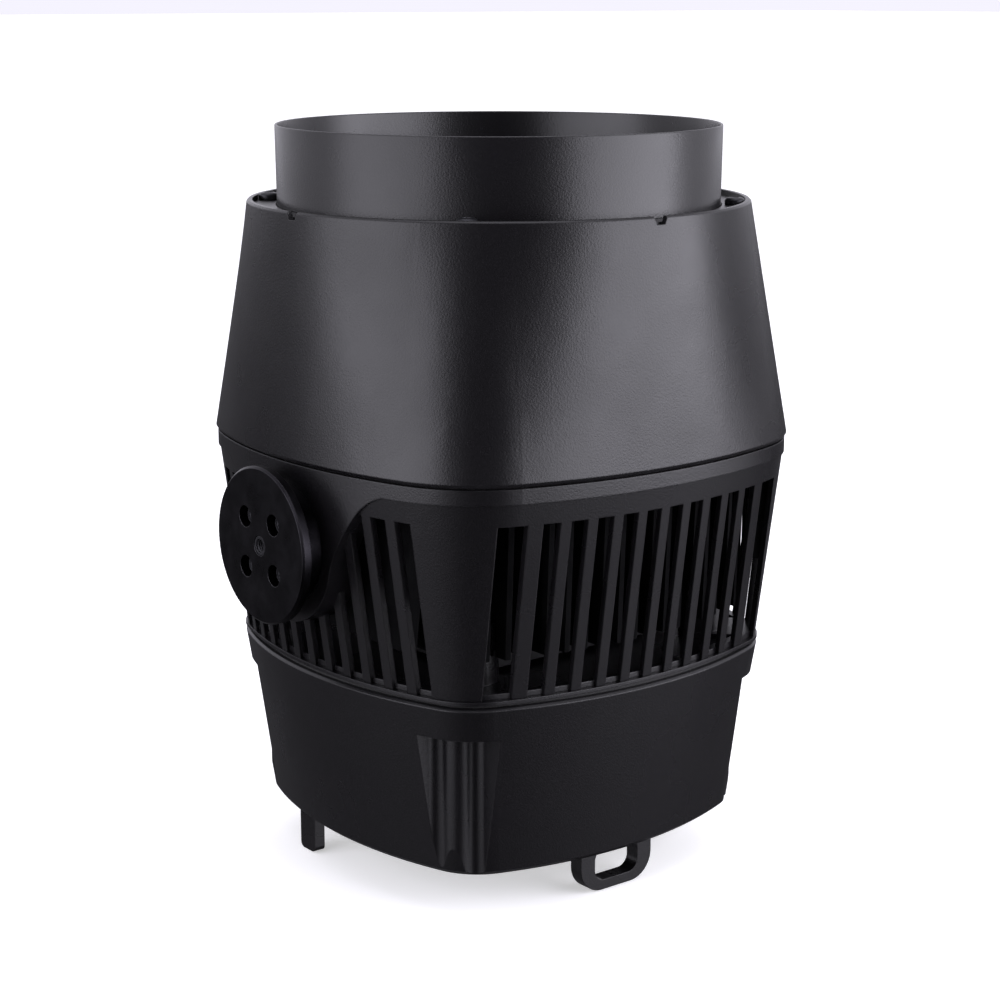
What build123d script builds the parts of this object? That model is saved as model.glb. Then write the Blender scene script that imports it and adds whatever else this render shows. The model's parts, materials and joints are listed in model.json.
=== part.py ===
from build123d import *
import math
import os

# LED stage light head, standing face up on its rear loops and feet.
# Millimetres, +Z up and out of the lens. Origin on the optical axis, in the plane that the feet stand on.
# The tilt pivot runs along X, and the rear loops are on the two Y sides.

# ---- levels along the optical axis ----
RING_TOP = 336.0
HOUSING_TOP = 303.1
LEDGE = 300.6
FRONT_SEAM = 197.0
BAND_TOP = 196.4
BAND_STEP = 189.8
SLOT_TOP = 180.3
DECK_TOP = 103.2
DECK_BOTTOM = 101.6
COVER_TOP = 99.9
POCKET_TOP = 85.2
COVER_BOTTOM = 20.4
PIVOT_Z = 161.0

# ---- plan outlines: face distance, face radius, corner radius ----
PLAN_TOP = (113.0, 113.6, 111.0)
PLAN_SEAM = (118.0, 227.7, 56.0)
PLAN_BAND = (117.2, 226.9, 55.2)
PLAN_SKIRT_TOP = (116.4, 226.1, 54.0)
PLAN_SKIRT_LOW = (104.4, 223.8, 31.0)
PLAN_DECK = (105.3, 224.6, 31.8)
PLAN_COVER_TOP = (106.9, 197.0, 31.1)
PLAN_COVER_LOW = (94.7, 191.7, 31.1)

WALL = 3.0
SKIRT_WALL = 2.8

# ---- front ring, plate and optics ----
RING_RADIUS = 100.0
RING_WALL = 1.2
PLATE_THICKNESS = 2.5
PLATE_RADIUS = 110.4
FRONT_SCREW_CIRCLE = 105.8
NOTCH_WIDTH = 6.6
NOTCH_DEPTH = 3.4
NOTCH_OFFSET = 3.65
LENS_RADIUS = 86.0
LENS_SEAT = 283.0
PILLAR_CIRCLE = 91.5
STACK_RADIUS = 96.5
BOSS_CIRCLE = 106.5
BOSS_RADIUS = 6.5
TIE_CIRCLE = 119.0
TIE_POST_RADIUS = 6.5
TIE_POST_LOW = 140.0
TIE_WELL_RADIUS = 4.2

# ---- LED board ----
LED_ROWS = 6
LED_PITCH = 8.5
LED_REACH = 26.5
LED_HALF = 1.75
LED_BASE = 0.7
DOME_RADIUS = 1.5
BOARD_RADIUS = 36.0
PAD_THICKNESS = 0.5
BOARD_THICKNESS = 1.6
BOARD_SCREW_CIRCLE = 31.0

# ---- louvre ----
RIB_PITCH = 12.5
RIB_WIDTH = 4.7
SIDE_SLOTS = 12
END_SLOTS = 10
WIDE_SLOT_INNER = 66.6
WIDE_SLOT_OUTER = 78.8

# ---- tilt hubs ----
HUB_FACE = 130.5
HUB_DISC_RADIUS = 34.5
HUB_DISC_THICKNESS = 4.2
HUB_NECK_RADIUS = 27.0
HUB_HOLE_CIRCLE = 31.3
HUB_HOLE_RADIUS = 4.8
HUB_SCREW_SEAT = 121.5
INSERT_RADIUS = 4.4
THREAD_RADIUS = 2.5
NUT_SEAT = 104.0

# ---- heat sink and fan ----
SINK_BASE_TOP = 190.0
SINK_BASE_THICKNESS = 8.0
FIN_LOW = 118.0
FIN_THICKNESS = 2.4
FIN_PITCH = 9.0
FINS_EACH_SIDE = 10
COLLAR_RADIUS = 82.0
SINK_SCREW_X = 85.5
SINK_SCREW_Y = 32.5
LED_BOARD_TOP = SINK_BASE_TOP + PAD_THICKNESS + BOARD_THICKNESS
FAN_HALF = 60.0
FAN_LOW = 105.2
FAN_HEIGHT = 25.0
FAN_DUCT_RADIUS = 57.0
ROTOR_RADIUS = 55.5
ROTOR_HUB_RADIUS = 20.0
ROTOR_BLADES = 7
FAN_SCREW_CIRCLE = 74.25
GROMMET_Y = 72.0

# ---- rear ----
CORNER_CIRCLE = 95.7
CORNER_BOSS_RADIUS = 11.7
CORNER_BOSS_TOP = 133.0
REAR_SCREW_SEAT = 70.0
REAR_WELL_RADIUS = 5.2
LOOP_FACE = 86.0
LOOP_THICKNESS = 7.3
LOOP_WIDTH = 41.2
SLOT_LOW = 4.6
SLOT_HALF_WIDTH = 12.6
LOOP_CORNER = 12.0
LOOP_FLARE = 3.6
LEG_X = (LOOP_WIDTH / 2 + SLOT_HALF_WIDTH) / 2
LOOP_Y = LOOP_FACE - LOOP_THICKNESS / 2
FOOT_X = 86.0
FOOT_Y = 35.5
FOOT_WIDTH = 12.0
FOOT_THICKNESS = 5.4
FOOT_ROUND = 2.6
FOOT_MIDDLE = FOOT_X - FOOT_THICKNESS / 2
BRACKET_HOLE_LOW = 9.0
FLOOR_TOP = 23.9
BUTTON_XS = (-21.0, -7.0, 7.0, 21.0)
BUTTON_Y = -3.0
BUTTON_RADIUS = 4.5
BUTTON_TRAVEL = 1.2
SOCKET_X = 56.0
SOCKET_Y = 21.0
SOCKET_FLANGE = (13.0, 15.5, 2.4)
SOCKET_RADIUS = 11.8
POWER_CUP_RADIUS = 10.2
DATA_CUP_RADIUS = 9.6
CORE_LOW = 26.5
CONTACT_CIRCLE = 5.6
LATCH_OFFSET = 12.6
PANEL_X = 34.0
PANEL_YS = (-17.0, 45.0)
PANEL_THICKNESS = 1.6
PANEL_SCREW_INSET = 3.0
WINDOW_X = 24.0
WINDOW_YS = (11.0, 36.0)
BOARD_X = 38.0
BOARD_YS = (-14.0, 46.0)
BOARD_LOW = 28.0
BOARD_TOP = 29.6
BOARD_SCREW_INSET = 4.0
FUSE_PLACE = (-18.0, -38.0)
VENT_PLACE = (18.0, -38.0)
EARTH_PLACE = (0.0, -54.0)
SUPPLY_X = 62.0
SUPPLY_Y = 46.0
SUPPLY_LOW = 58.0

# ---- corner pockets of the rear cover: distance outwards, distance to the side ----
POCKET_CREST = (109.3, 0.0)
RIB_FOOT = (107.2, 5.0)
FLUTE_FLOOR = (105.6, 8.8)
FLUTE_LIP = (107.4, 12.4)
POCKET_MOUTH = (140.0, 45.7)
POCKET_OFFSET = 5.0

# ---- screws: thread radius, head radius, head height ----
M5 = (2.5, 4.5, 3.4)
M4 = (2.0, 3.6, 2.6)
M3_WIDE = (1.6, 3.2, 2.2)
M3 = (1.5, 2.7, 1.8)
PANEL_SCREW = (1.35, 2.3, 1.3)

# ---- cutters reach past everything ----
UNDER_ALL = -10.0
OVER_ALL = 400.0

os.makedirs("parts", exist_ok=True)


def save(name, shape):
    """Write one node as a STEP file of its own."""
    export_step(shape, f"parts/{name}.step")


def group(pieces):
    """Several separate solids as one node."""
    solids = []
    for piece in pieces:
        solids.extend(piece.solids())
    return Compound(children=solids)


def shrink(plan, by):
    """The same outline, set in all round."""
    face, side, corner = plan
    return (face - by, side - by, corner - by)


def blend(low, high, share):
    """An outline between two others."""
    return tuple(a + (b - a) * share for a, b in zip(low, high))


def outline(plan, z):
    """Rounded square with bulged sides: four long arcs joined by four tangent corner arcs."""
    face, side, corner = plan
    gap = side - face
    reach = (-2 * gap + math.sqrt(4 * gap * gap + 8 * ((side - corner) ** 2 - gap * gap))) / 4
    turn = math.atan2(reach, reach + gap)
    edges = []
    for quarter in range(4):
        spin = Rot(0, 0, 90 * quarter)
        ends = []
        for angle in (-turn, 0, turn):
            ends.append((side * math.cos(angle) - gap, side * math.sin(angle)))
        middle = (reach + corner * math.sqrt(0.5), reach + corner * math.sqrt(0.5))
        last = (ends[2][1], ends[2][0])
        edges.append(spin * ThreePointArc(*ends))
        edges.append(spin * ThreePointArc(ends[2], middle, last))
    return Pos(0, 0, z) * make_face(Wire(edges))


def loft_levels(levels):
    """Solid through outlines at rising levels, straight from one to the next."""
    solid = None
    for (low_z, low), (high_z, high) in zip(levels, levels[1:]):
        step = loft([outline(low, low_z), outline(high, high_z)], ruled=True)
        solid = step if solid is None else solid + step
    return solid


def prism(plan, low, high):
    """Straight-sided solid of one outline."""
    return loft_levels([(low, plan), (high, plan)])


def tube(radius, low, high, x=0.0, y=0.0):
    """Upright cylinder between two levels."""
    return Pos(x, y, (low + high) / 2) * Cylinder(radius, high - low)


def drill(radius, x=0.0, y=0.0):
    """Upright cutter through everything at one place."""
    return tube(radius, UNDER_ALL, OVER_ALL, x, y)


def lying(radius, near, far, y=0.0, z=PIVOT_Z):
    """Cylinder along X between two distances from the axis."""
    return Pos((near + far) / 2, y, z) * Rot(0, 90, 0) * Cylinder(radius, far - near)


def block(x_span, y_span, z_span):
    """Box between pairs of coordinates."""
    spans = (x_span, y_span, z_span)
    sizes = [high - low for low, high in spans]
    centre = [(high + low) / 2 for low, high in spans]
    return Pos(*centre) * Box(*sizes)


def corner_points(circle):
    """The four points on the diagonals at a distance from the axis."""
    leg = circle * math.sqrt(0.5)
    return [(leg, leg), (-leg, leg), (-leg, -leg), (leg, -leg)]


def screw(x, y, under_head, length, size, up=True):
    """Pan-head screw standing on a face, its thread going away from the head."""
    radius, head_radius, head = size
    dome = Cylinder(head_radius, head)
    dome = fillet(dome.edges().group_by(Axis.Z)[-1], head * 0.45)
    dome -= Pos(0, 0, head / 2) * Cylinder(head_radius * 0.36, head)
    body = Pos(0, 0, head / 2) * dome + Pos(0, 0, -length / 2) * Cylinder(radius, length)
    if not up:
        body = Rot(180, 0, 0) * body
    return Pos(x, y, under_head) * body


# ---- front ring and plate ----
def front_ring():
    plate_low = LEDGE - PLATE_THICKNESS
    foot_outer = RING_RADIUS - 0.45
    half = [
        (foot_outer - RING_WALL, plate_low - 1.5),
        (foot_outer + 4.0, plate_low - 1.5),
        (foot_outer + 4.0, plate_low),
        (foot_outer, plate_low),
        (RING_RADIUS, RING_TOP),
        (RING_RADIUS - RING_WALL, RING_TOP),
    ]
    ring = revolve(make_face(Plane.XZ * Polyline(*half, close=True)), Axis.Z)
    for x, y in corner_points(BOSS_CIRCLE):
        ring -= tube(BOSS_RADIUS + 0.4, plate_low - 3, plate_low, x, y)
    return ring


def front_plate():
    plate = tube(PLATE_RADIUS, LEDGE - PLATE_THICKNESS, LEDGE)
    plate -= drill(RING_RADIUS + 0.15)
    for x, y in corner_points(FRONT_SCREW_CIRCLE):
        plate -= drill(2.75, x, y)
    return plate


def front_screws():
    return group(screw(x, y, LEDGE, 14.0, M5) for x, y in corner_points(FRONT_SCREW_CIRCLE))


# ---- front housing ----
def front_housing():
    outer = loft_levels([
        (FRONT_SEAM, shrink(PLAN_SEAM, 1.1)),
        (FRONT_SEAM + 1.6, shrink(PLAN_SEAM, 0.0)),
        (HOUSING_TOP - 0.8, PLAN_TOP),
        (HOUSING_TOP, shrink(PLAN_TOP, 0.8)),
    ])
    shelf = LEDGE - PLATE_THICKNESS
    cavity = loft_levels([
        (FRONT_SEAM - 1, shrink(PLAN_SEAM, WALL + 0.6)),
        (shelf - 6, shrink(PLAN_TOP, WALL + 1)),
    ])
    cavity += tube(PLATE_RADIUS - 5.4, shelf - 7, shelf + 1)
    cavity += tube(PLATE_RADIUS + 0.15, shelf, HOUSING_TOP + 1)
    bosses = None
    for x, y in corner_points(BOSS_CIRCLE):
        boss = tube(BOSS_RADIUS, shelf - 26, shelf, x, y)
        bosses = boss if bosses is None else bosses + boss
    feet = None
    for x, y in corner_points(TIE_CIRCLE):
        foot = tube(9.0, FRONT_SEAM, FRONT_SEAM + 16, x, y)
        feet = foot if feet is None else feet + foot
    trim = loft_levels([
        (FRONT_SEAM, shrink(PLAN_SEAM, 1.6)),
        (HOUSING_TOP, shrink(PLAN_TOP, 1.0)),
    ])
    solid = (outer - cavity) + ((bosses + feet) & trim)
    for x, y in corner_points(FRONT_SCREW_CIRCLE):
        solid -= tube(2.5, shelf - 16, shelf + 1, x, y)
    for x, y in corner_points(TIE_CIRCLE):
        solid -= tube(2.0, FRONT_SEAM - 1, FRONT_SEAM + 13, x, y)
    notch = make_face(Plane.XZ * Polyline(
        (-NOTCH_WIDTH / 2, HOUSING_TOP + 1),
        (-NOTCH_WIDTH / 2, HOUSING_TOP - 1),
        (-NOTCH_WIDTH / 3, HOUSING_TOP - NOTCH_DEPTH),
        (NOTCH_WIDTH / 3, HOUSING_TOP - NOTCH_DEPTH),
        (NOTCH_WIDTH / 2, HOUSING_TOP - 1),
        (NOTCH_WIDTH / 2, HOUSING_TOP + 1),
        close=True,
    ))
    cutter = Pos(0, -PLATE_RADIUS, 0) * extrude(notch, 8, both=True)
    # each notch stands off its face's middle, towards the -X -Y corner or the +X +Y corner
    for quarter, side in enumerate((-1, 1, -1, 1)):
        solid -= Rot(0, 0, 90 * quarter) * Pos(side * NOTCH_OFFSET, 0, 0) * cutter
    return solid


# ---- optics ----
def reflector():
    wall = 1.2
    low, high = 195.0, LENS_SEAT
    bowl = [(34.0, low), (56.0, 214.0), (72.0, 240.0), (81.5, high - 2.0)]
    inner = Plane.XZ * Spline(*bowl)
    start, end = bowl[0], bowl[-1]
    rim = [end, (end[0], high), (STACK_RADIUS, high), (STACK_RADIUS, high - wall)]
    rim += [(end[0] + wall, high - wall), (end[0] + wall, end[1])]
    outer = Plane.XZ * Spline(*[(x + wall, z - wall * 0.6) for x, z in reversed(bowl[:-1])])
    top = Plane.XZ * Polyline(*rim)
    join = Plane.XZ * Line(rim[-1], (bowl[-2][0] + wall, bowl[-2][1] - wall * 0.6))
    foot = Plane.XZ * Line((start[0] + wall, start[1] - wall * 0.6), start)
    section = make_face(Wire([*inner.edges(), *top.edges(), *join.edges(), *outer.edges(), *foot.edges()]))
    solid = revolve(section, Axis.Z)
    for x, y in corner_points(PILLAR_CIRCLE):
        solid -= tube(2.2, high - 5, high + 5, x, y)
    return solid


def lens():
    """Plano-convex lens with a flat edge band for its gasket and retainer."""
    flat = LENS_SEAT + 1.5
    edge_top = flat + 4.0
    crown = 6.0
    dome_radius = LENS_RADIUS - 4
    ball = (dome_radius ** 2 + crown ** 2) / (2 * crown)
    dome = Pos(0, 0, edge_top + crown - ball) * Sphere(ball)
    return tube(LENS_RADIUS, flat, edge_top) + (tube(dome_radius, edge_top - 1, edge_top + crown + 1) & dome)


def lens_gasket():
    return tube(LENS_RADIUS, LENS_SEAT, LENS_SEAT + 1.5) - drill(LENS_RADIUS - 5)


def lens_retainer():
    """Ring with a lip over the lens edge and a skirt round it."""
    flat = LENS_SEAT + 5.5
    ring = tube(STACK_RADIUS, LENS_SEAT, flat + 1.5) - drill(LENS_RADIUS - 3.5)
    ring -= tube(LENS_RADIUS + 0.3, LENS_SEAT - 1, flat)
    for x, y in corner_points(PILLAR_CIRCLE):
        ring -= drill(2.2, x, y)
    return ring


def lens_screws():
    top = LENS_SEAT + 7.0
    return group(screw(x, y, top, 13.0, M4) for x, y in corner_points(PILLAR_CIRCLE))


def pillars():
    pieces = []
    for x, y in corner_points(PILLAR_CIRCLE):
        post = tube(4.5, SINK_BASE_TOP, LENS_SEAT - 1.2, x, y)
        post -= tube(2.0, LENS_SEAT - 11, LENS_SEAT + 5, x, y)
        pieces.append(post)
    return group(pieces)


# ---- LED engine ----
def thermal_pad():
    pad = tube(BOARD_RADIUS - 2, SINK_BASE_TOP, SINK_BASE_TOP + PAD_THICKNESS)
    for x, y in corner_points(BOARD_SCREW_CIRCLE):
        pad -= drill(1.7, x, y)
    return pad


def led_board():
    board = tube(BOARD_RADIUS, LED_BOARD_TOP - BOARD_THICKNESS, LED_BOARD_TOP)
    for x, y in corner_points(BOARD_SCREW_CIRCLE):
        board -= drill(1.7, x, y)
    return board


def led_emitters():
    pieces = []
    base = LED_BOARD_TOP
    for row in range(LED_ROWS):
        for column in range(LED_ROWS):
            x = (row - (LED_ROWS - 1) / 2) * LED_PITCH
            y = (column - (LED_ROWS - 1) / 2) * LED_PITCH
            if math.hypot(x, y) > LED_REACH:
                continue
            chip = block((x - LED_HALF, x + LED_HALF), (y - LED_HALF, y + LED_HALF), (base, base + LED_BASE))
            dome = Sphere(DOME_RADIUS) & Pos(0, 0, DOME_RADIUS) * Box(4, 4, 2 * DOME_RADIUS)
            pieces.append(chip + Pos(x, y, base + LED_BASE) * dome)
    return group(pieces)


def led_board_screws():
    return group(screw(x, y, LED_BOARD_TOP, 7.0, M3) for x, y in corner_points(BOARD_SCREW_CIRCLE))


def heat_sink():
    base_low = SINK_BASE_TOP - SINK_BASE_THICKNESS
    plan = shrink(skirt_plan(base_low), 15.0)
    base = prism(plan, base_low, SINK_BASE_TOP)
    room = loft_levels([
        (FIN_LOW, shrink(skirt_plan(FIN_LOW), 10.0)),
        (base_low + 0.5, shrink(skirt_plan(base_low), 16.0)),
    ])
    fan_room = (-FAN_HALF - 1, FAN_HALF + 1)
    room -= block(fan_room, fan_room, (FIN_LOW - 1, FAN_LOW + FAN_HEIGHT + 3))
    for x, y in corner_points(CORNER_CIRCLE):
        room -= tube(CORNER_BOSS_RADIUS + 1.5, FIN_LOW - 1, CORNER_BOSS_TOP + 2, x, y)
    for x, y in corner_points(TIE_CIRCLE):
        room -= drill(TIE_POST_RADIUS + 0.6, x, y)
        base -= drill(TIE_POST_RADIUS + 0.6, x, y)
    for x, y in sink_screw_points():
        room -= tube(5.0, base_low - 30, base_low + 1, x, y)
    solid = base
    for step in range(-FINS_EACH_SIDE, FINS_EACH_SIDE + 1):
        x = step * FIN_PITCH
        faces = (x - FIN_THICKNESS / 2, x + FIN_THICKNESS / 2)
        solid += block(faces, (-120, 120), (FIN_LOW - 1, base_low + 1)) & room
    for x, y in corner_points(BOARD_SCREW_CIRCLE):
        solid -= tube(1.5, SINK_BASE_TOP - 7, SINK_BASE_TOP + 1, x, y)
    for x, y in sink_screw_points():
        solid -= tube(2.0, SINK_BASE_TOP - 9, SINK_BASE_TOP + 1, x, y)
    return solid


def sink_screw_points():
    """Four places in the rim of the base, under the collar."""
    return [(x, y) for x in (-SINK_SCREW_X, SINK_SCREW_X) for y in (-SINK_SCREW_Y, SINK_SCREW_Y)]


def sink_screws():
    low = SINK_BASE_TOP - SINK_BASE_THICKNESS
    return group(screw(x, y, low, SINK_BASE_THICKNESS + 2.8, M3_WIDE, up=False)
                 for x, y in sink_screw_points())


# ---- louvre housing ----
def fairing_outline():
    """Tongue round a tilt hub, drawn across the face and upwards: a round foot that flares to the band."""
    foot_radius = 30.5
    centre = PIVOT_Z - 5.0
    flare = 66.0
    lean = math.radians(12)
    low = (foot_radius * math.cos(lean), centre - foot_radius * math.sin(lean))
    up = (flare, BAND_STEP + 1)
    belly = (40.0, centre + 15.5)
    right = Spline(low, belly, up, tangents=((0.2, 1.0), (1.0, 0.12)))
    left = Spline((-up[0], up[1]), (-belly[0], belly[1]), (-low[0], low[1]),
                  tangents=((1.0, -0.12), (0.2, -1.0)))
    foot = ThreePointArc((-low[0], low[1]), (0, centre - foot_radius), low)
    top = Polyline(up, (up[0], BAND_TOP - 1), (-up[0], BAND_TOP - 1), (-up[0], up[1]))
    return Wire([*foot.edges(), *right.edges(), *top.edges(), *left.edges()])


def skirt_plan(z):
    """Outline of the louvre wall at a level."""
    return blend(PLAN_SKIRT_LOW, PLAN_SKIRT_TOP, (z - DECK_TOP) / (BAND_STEP - DECK_TOP))


def slot_cutters():
    """Openings between the ribs on all four faces."""
    low = DECK_TOP
    width = RIB_PITCH - RIB_WIDTH
    cutters = []
    for count, sides in ((END_SLOTS, (0, 180)), (SIDE_SLOTS, (90, 270))):
        spans = []
        for index in range(count):
            middle = (index - (count - 1) / 2) * RIB_PITCH
            spans.append((middle - width / 2, middle + width / 2))
        if count == END_SLOTS:
            spans.append((WIDE_SLOT_INNER, WIDE_SLOT_OUTER))
            spans.append((-WIDE_SLOT_OUTER, -WIDE_SLOT_INNER))
        for side in sides:
            for start, end in spans:
                cutters.append(Rot(0, 0, side) * block((start, end), (-140, -76), (low - 1, SLOT_TOP)))
    return cutters


def louvre_housing():
    band = prism(PLAN_BAND, BAND_STEP, BAND_TOP)
    skirt = loft_levels([(DECK_TOP, PLAN_SKIRT_LOW), (BAND_STEP, PLAN_SKIRT_TOP)])
    inner = loft_levels([
        (DECK_TOP - 1, shrink(PLAN_SKIRT_LOW, SKIRT_WALL)),
        (BAND_STEP, shrink(PLAN_SKIRT_TOP, SKIRT_WALL)),
        (BAND_TOP + 1, shrink(PLAN_SKIRT_TOP, SKIRT_WALL)),
    ])
    solid = band + skirt - inner
    solid -= slot_cutters()
    ring_out = prism(shrink(PLAN_SKIRT_LOW, 1.6), DECK_TOP, DECK_TOP + 2.6)
    ring_in = prism(shrink(PLAN_SKIRT_LOW, 5.5), DECK_TOP - 1, DECK_TOP + 4)
    solid += ring_out - ring_in
    gusset = block((88, 125), (-14, 14), (DECK_TOP, DECK_TOP + 2.6))
    for turn in (45, 135, 225, 315):
        solid += (Rot(0, 0, turn) * gusset) & ring_out
    # sealing wall that closes off the heat sink base, with a rim for the front housing
    collar = prism(shrink(PLAN_SKIRT_TOP, 2.0), SINK_BASE_TOP, SINK_BASE_TOP + 3)
    collar -= drill(COLLAR_RADIUS)
    solid += collar
    envelope = prism(PLAN_BAND, DECK_TOP, BAND_TOP)
    core = loft_levels([
        (DECK_TOP - 1, shrink(PLAN_SKIRT_LOW, 6.0)),
        (BAND_TOP + 1, shrink(PLAN_SKIRT_TOP, 7.5)),
    ])
    tongue = extrude(Plane.YZ * make_face(fairing_outline()), 140)
    seat = block((NUT_SEAT, 114), (-23, 23), (PIVOT_Z - 23, PIVOT_Z + 19))
    relief = block((NUT_SEAT - 10, NUT_SEAT), (-21, 21), (PIVOT_Z - 21, PIVOT_Z + 21))
    for turn in (0, 180):
        boss = (tongue & envelope) - core + seat - relief
        solid += Rot(0, 0, turn) * boss
        solid -= Rot(0, 0, turn) * relief
    for x, y in corner_points(CORNER_CIRCLE):
        solid += tube(CORNER_BOSS_RADIUS, DECK_TOP, CORNER_BOSS_TOP, x, y)
    for x, y in corner_points(TIE_CIRCLE):
        solid += tube(TIE_POST_RADIUS, TIE_POST_LOW, SINK_BASE_TOP, x, y) & skirt
    solid -= prism(PLAN_BAND, DECK_TOP - 20, DECK_TOP)
    for x, y in corner_points(CORNER_CIRCLE):
        solid -= tube(2.5, DECK_TOP - 1, 122.0, x, y)
    for x, y in corner_points(PILLAR_CIRCLE):
        solid -= tube(5.2, SINK_BASE_TOP - 1, BAND_TOP, x, y)
    for x, y in corner_points(TIE_CIRCLE):
        solid -= tube(2.2, SINK_BASE_TOP - 1, BAND_TOP, x, y)
        solid -= tube(TIE_WELL_RADIUS, TIE_POST_LOW - 1, SINK_BASE_TOP, x, y)
    for turn in (0, 180):
        spin = Rot(0, 0, turn)
        for y, z in hub_screw_points():
            solid -= spin * lying(2.7, 97, 127, y, z)
        solid -= spin * lying(6.2, 97, 127)
    for x, y in sink_screw_points():
        solid -= tube(1.6, SINK_BASE_TOP - 1, SINK_BASE_TOP + 4, x, y)
    return solid


def front_gasket():
    inside = prism(shrink(PLAN_SKIRT_TOP, SKIRT_WALL), BAND_TOP - 1, FRONT_SEAM + 1)
    return prism(shrink(PLAN_BAND, 2.4), BAND_TOP, FRONT_SEAM) - inside


def housing_tie_screws():
    return group(screw(x, y, SINK_BASE_TOP, 17.0, M4, up=False) for x, y in corner_points(TIE_CIRCLE))


# ---- tilt hubs ----
def hub_screw_points():
    leg = HUB_HOLE_CIRCLE / 2 * math.sqrt(0.5)
    return [(leg, PIVOT_Z + leg), (-leg, PIVOT_Z + leg), (-leg, PIVOT_Z - leg), (leg, PIVOT_Z - leg)]


def hub(side):
    """Flanged hub drawn on +X, then turned to its side."""
    half = [
        (0, 116.4),
        (HUB_NECK_RADIUS, 116.4),
        (HUB_NECK_RADIUS, HUB_FACE - HUB_DISC_THICKNESS),
        (HUB_DISC_RADIUS, HUB_FACE - HUB_DISC_THICKNESS),
        (HUB_DISC_RADIUS, HUB_FACE - 0.9),
        (HUB_DISC_RADIUS - 0.9, HUB_FACE),
        (0, HUB_FACE),
    ]
    solid = revolve(make_face(Plane.XZ * Polyline(*half, close=True)), Axis.Z)
    solid = Pos(0, 0, PIVOT_Z) * Rot(0, 90, 0) * solid
    envelope = prism(PLAN_BAND, PIVOT_Z - 40, PIVOT_Z + 40)
    solid -= envelope
    for y, z in hub_screw_points():
        solid -= lying(HUB_HOLE_RADIUS, HUB_SCREW_SEAT, 140, y, z)
        solid -= lying(2.75, 100, 140, y, z)
    solid -= lying(INSERT_RADIUS, 100, 140)
    return solid if side > 0 else Rot(0, 0, 180) * solid


def hub_insert(side):
    """Steel threaded insert with an inner shoulder."""
    solid = lying(INSERT_RADIUS, 115.5, HUB_FACE - 0.2) + lying(6.0, 115.5, 117.0)
    solid -= lying(THREAD_RADIUS, 100, 140)
    return solid if side > 0 else Rot(0, 0, 180) * solid


def hub_screws():
    """Socket-head screws at the bottom of the hub's counterbores."""
    pieces = []
    for y, z in hub_screw_points():
        piece = lying(4.25, HUB_SCREW_SEAT, HUB_SCREW_SEAT + 5, y, z)
        piece -= lying(2.0, HUB_SCREW_SEAT + 2, HUB_SCREW_SEAT + 6, y, z)
        piece += lying(2.5, NUT_SEAT - 2.6, HUB_SCREW_SEAT, y, z)
        pieces.append(piece)
        pieces.append(Rot(0, 0, 180) * piece)
    return group(pieces)


def hub_nut_plates():
    """Steel plates inside the louvre wall that the hubs' screws pull against."""
    solid = block((NUT_SEAT - 2.6, NUT_SEAT), (-20, 20), (PIVOT_Z - 20, PIVOT_Z + 20))
    solid -= lying(4.6, 90, 120)
    for y, z in hub_screw_points():
        solid -= lying(2.5, 90, 120, y, z)
    return group([solid, Rot(0, 0, 180) * solid])


# ---- fan ----
def fan_frame():
    low, high = FAN_LOW, FAN_LOW + FAN_HEIGHT
    solid = block((-FAN_HALF, FAN_HALF), (-FAN_HALF, FAN_HALF), (low, high))
    solid = fillet(solid.edges().filter_by(Axis.Z), 6.0)
    solid -= drill(FAN_DUCT_RADIUS)
    spoke = block((ROTOR_HUB_RADIUS - 3, FAN_DUCT_RADIUS + 1), (-2, 2), (low, low + 3))
    for turn in range(0, 360, 90):
        solid += Rot(0, 0, turn + 45) * spoke
    solid += tube(ROTOR_HUB_RADIUS, low, low + 3)
    solid += tube(2.0, low, high - 4)
    for x, y in corner_points(FAN_SCREW_CIRCLE):
        solid -= drill(2.2, x, y)
    return solid


def fan_rotor():
    low, high = FAN_LOW + 4.0, FAN_LOW + FAN_HEIGHT - 1.5
    hub_body = tube(ROTOR_HUB_RADIUS, low, high)
    blades = []
    for index in range(ROTOR_BLADES):
        length = ROTOR_RADIUS - ROTOR_HUB_RADIUS + 2
        blade = Pos(ROTOR_HUB_RADIUS - 2 + length / 2, 0, (low + high) / 2)
        blade = blade * Rot(38, 0, 0) * Box(length, 22.0, 1.6)
        blades.append(Rot(0, 0, index * 360 / ROTOR_BLADES) * blade)
    sweep = tube(ROTOR_RADIUS, low, high)
    solid = hub_body + [blade & sweep for blade in blades]
    return solid - tube(2.05, low - 1, high - 1.5)


def fan_screws():
    top = FAN_LOW + FAN_HEIGHT
    return group(screw(x, y, top, 26.0, M4) for x, y in corner_points(FAN_SCREW_CIRCLE))


# ---- deck plate and rear cover ----
def deck_plate():
    solid = prism(PLAN_DECK, DECK_BOTTOM, DECK_TOP)
    for x, y in corner_points(CORNER_CIRCLE):
        solid -= drill(2.8, x, y)
    for x, y in corner_points(FAN_SCREW_CIRCLE):
        solid -= drill(2.0, x, y)
    return solid - drill(8.0, 0, GROMMET_Y)


def cable_grommet():
    stem = tube(8.0, DECK_BOTTOM, DECK_TOP, 0, GROMMET_Y)
    flange = tube(10.5, DECK_TOP, DECK_TOP + 2, 0, GROMMET_Y)
    return stem + flange - drill(5.0, 0, GROMMET_Y)


def rear_gasket():
    inside = prism(shrink(PLAN_COVER_TOP, 6.6), COVER_TOP - 1, DECK_BOTTOM + 1)
    return prism(shrink(PLAN_COVER_TOP, 3.0), COVER_TOP, DECK_BOTTOM) - inside


def bracket_screw_points():
    """Two screws in each loop and one in each foot."""
    legs = [(x, y) for x in (-LEG_X, LEG_X) for y in (-LOOP_Y, LOOP_Y)]
    return legs + [(-FOOT_MIDDLE, FOOT_Y), (FOOT_MIDDLE, -FOOT_Y)]


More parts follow.
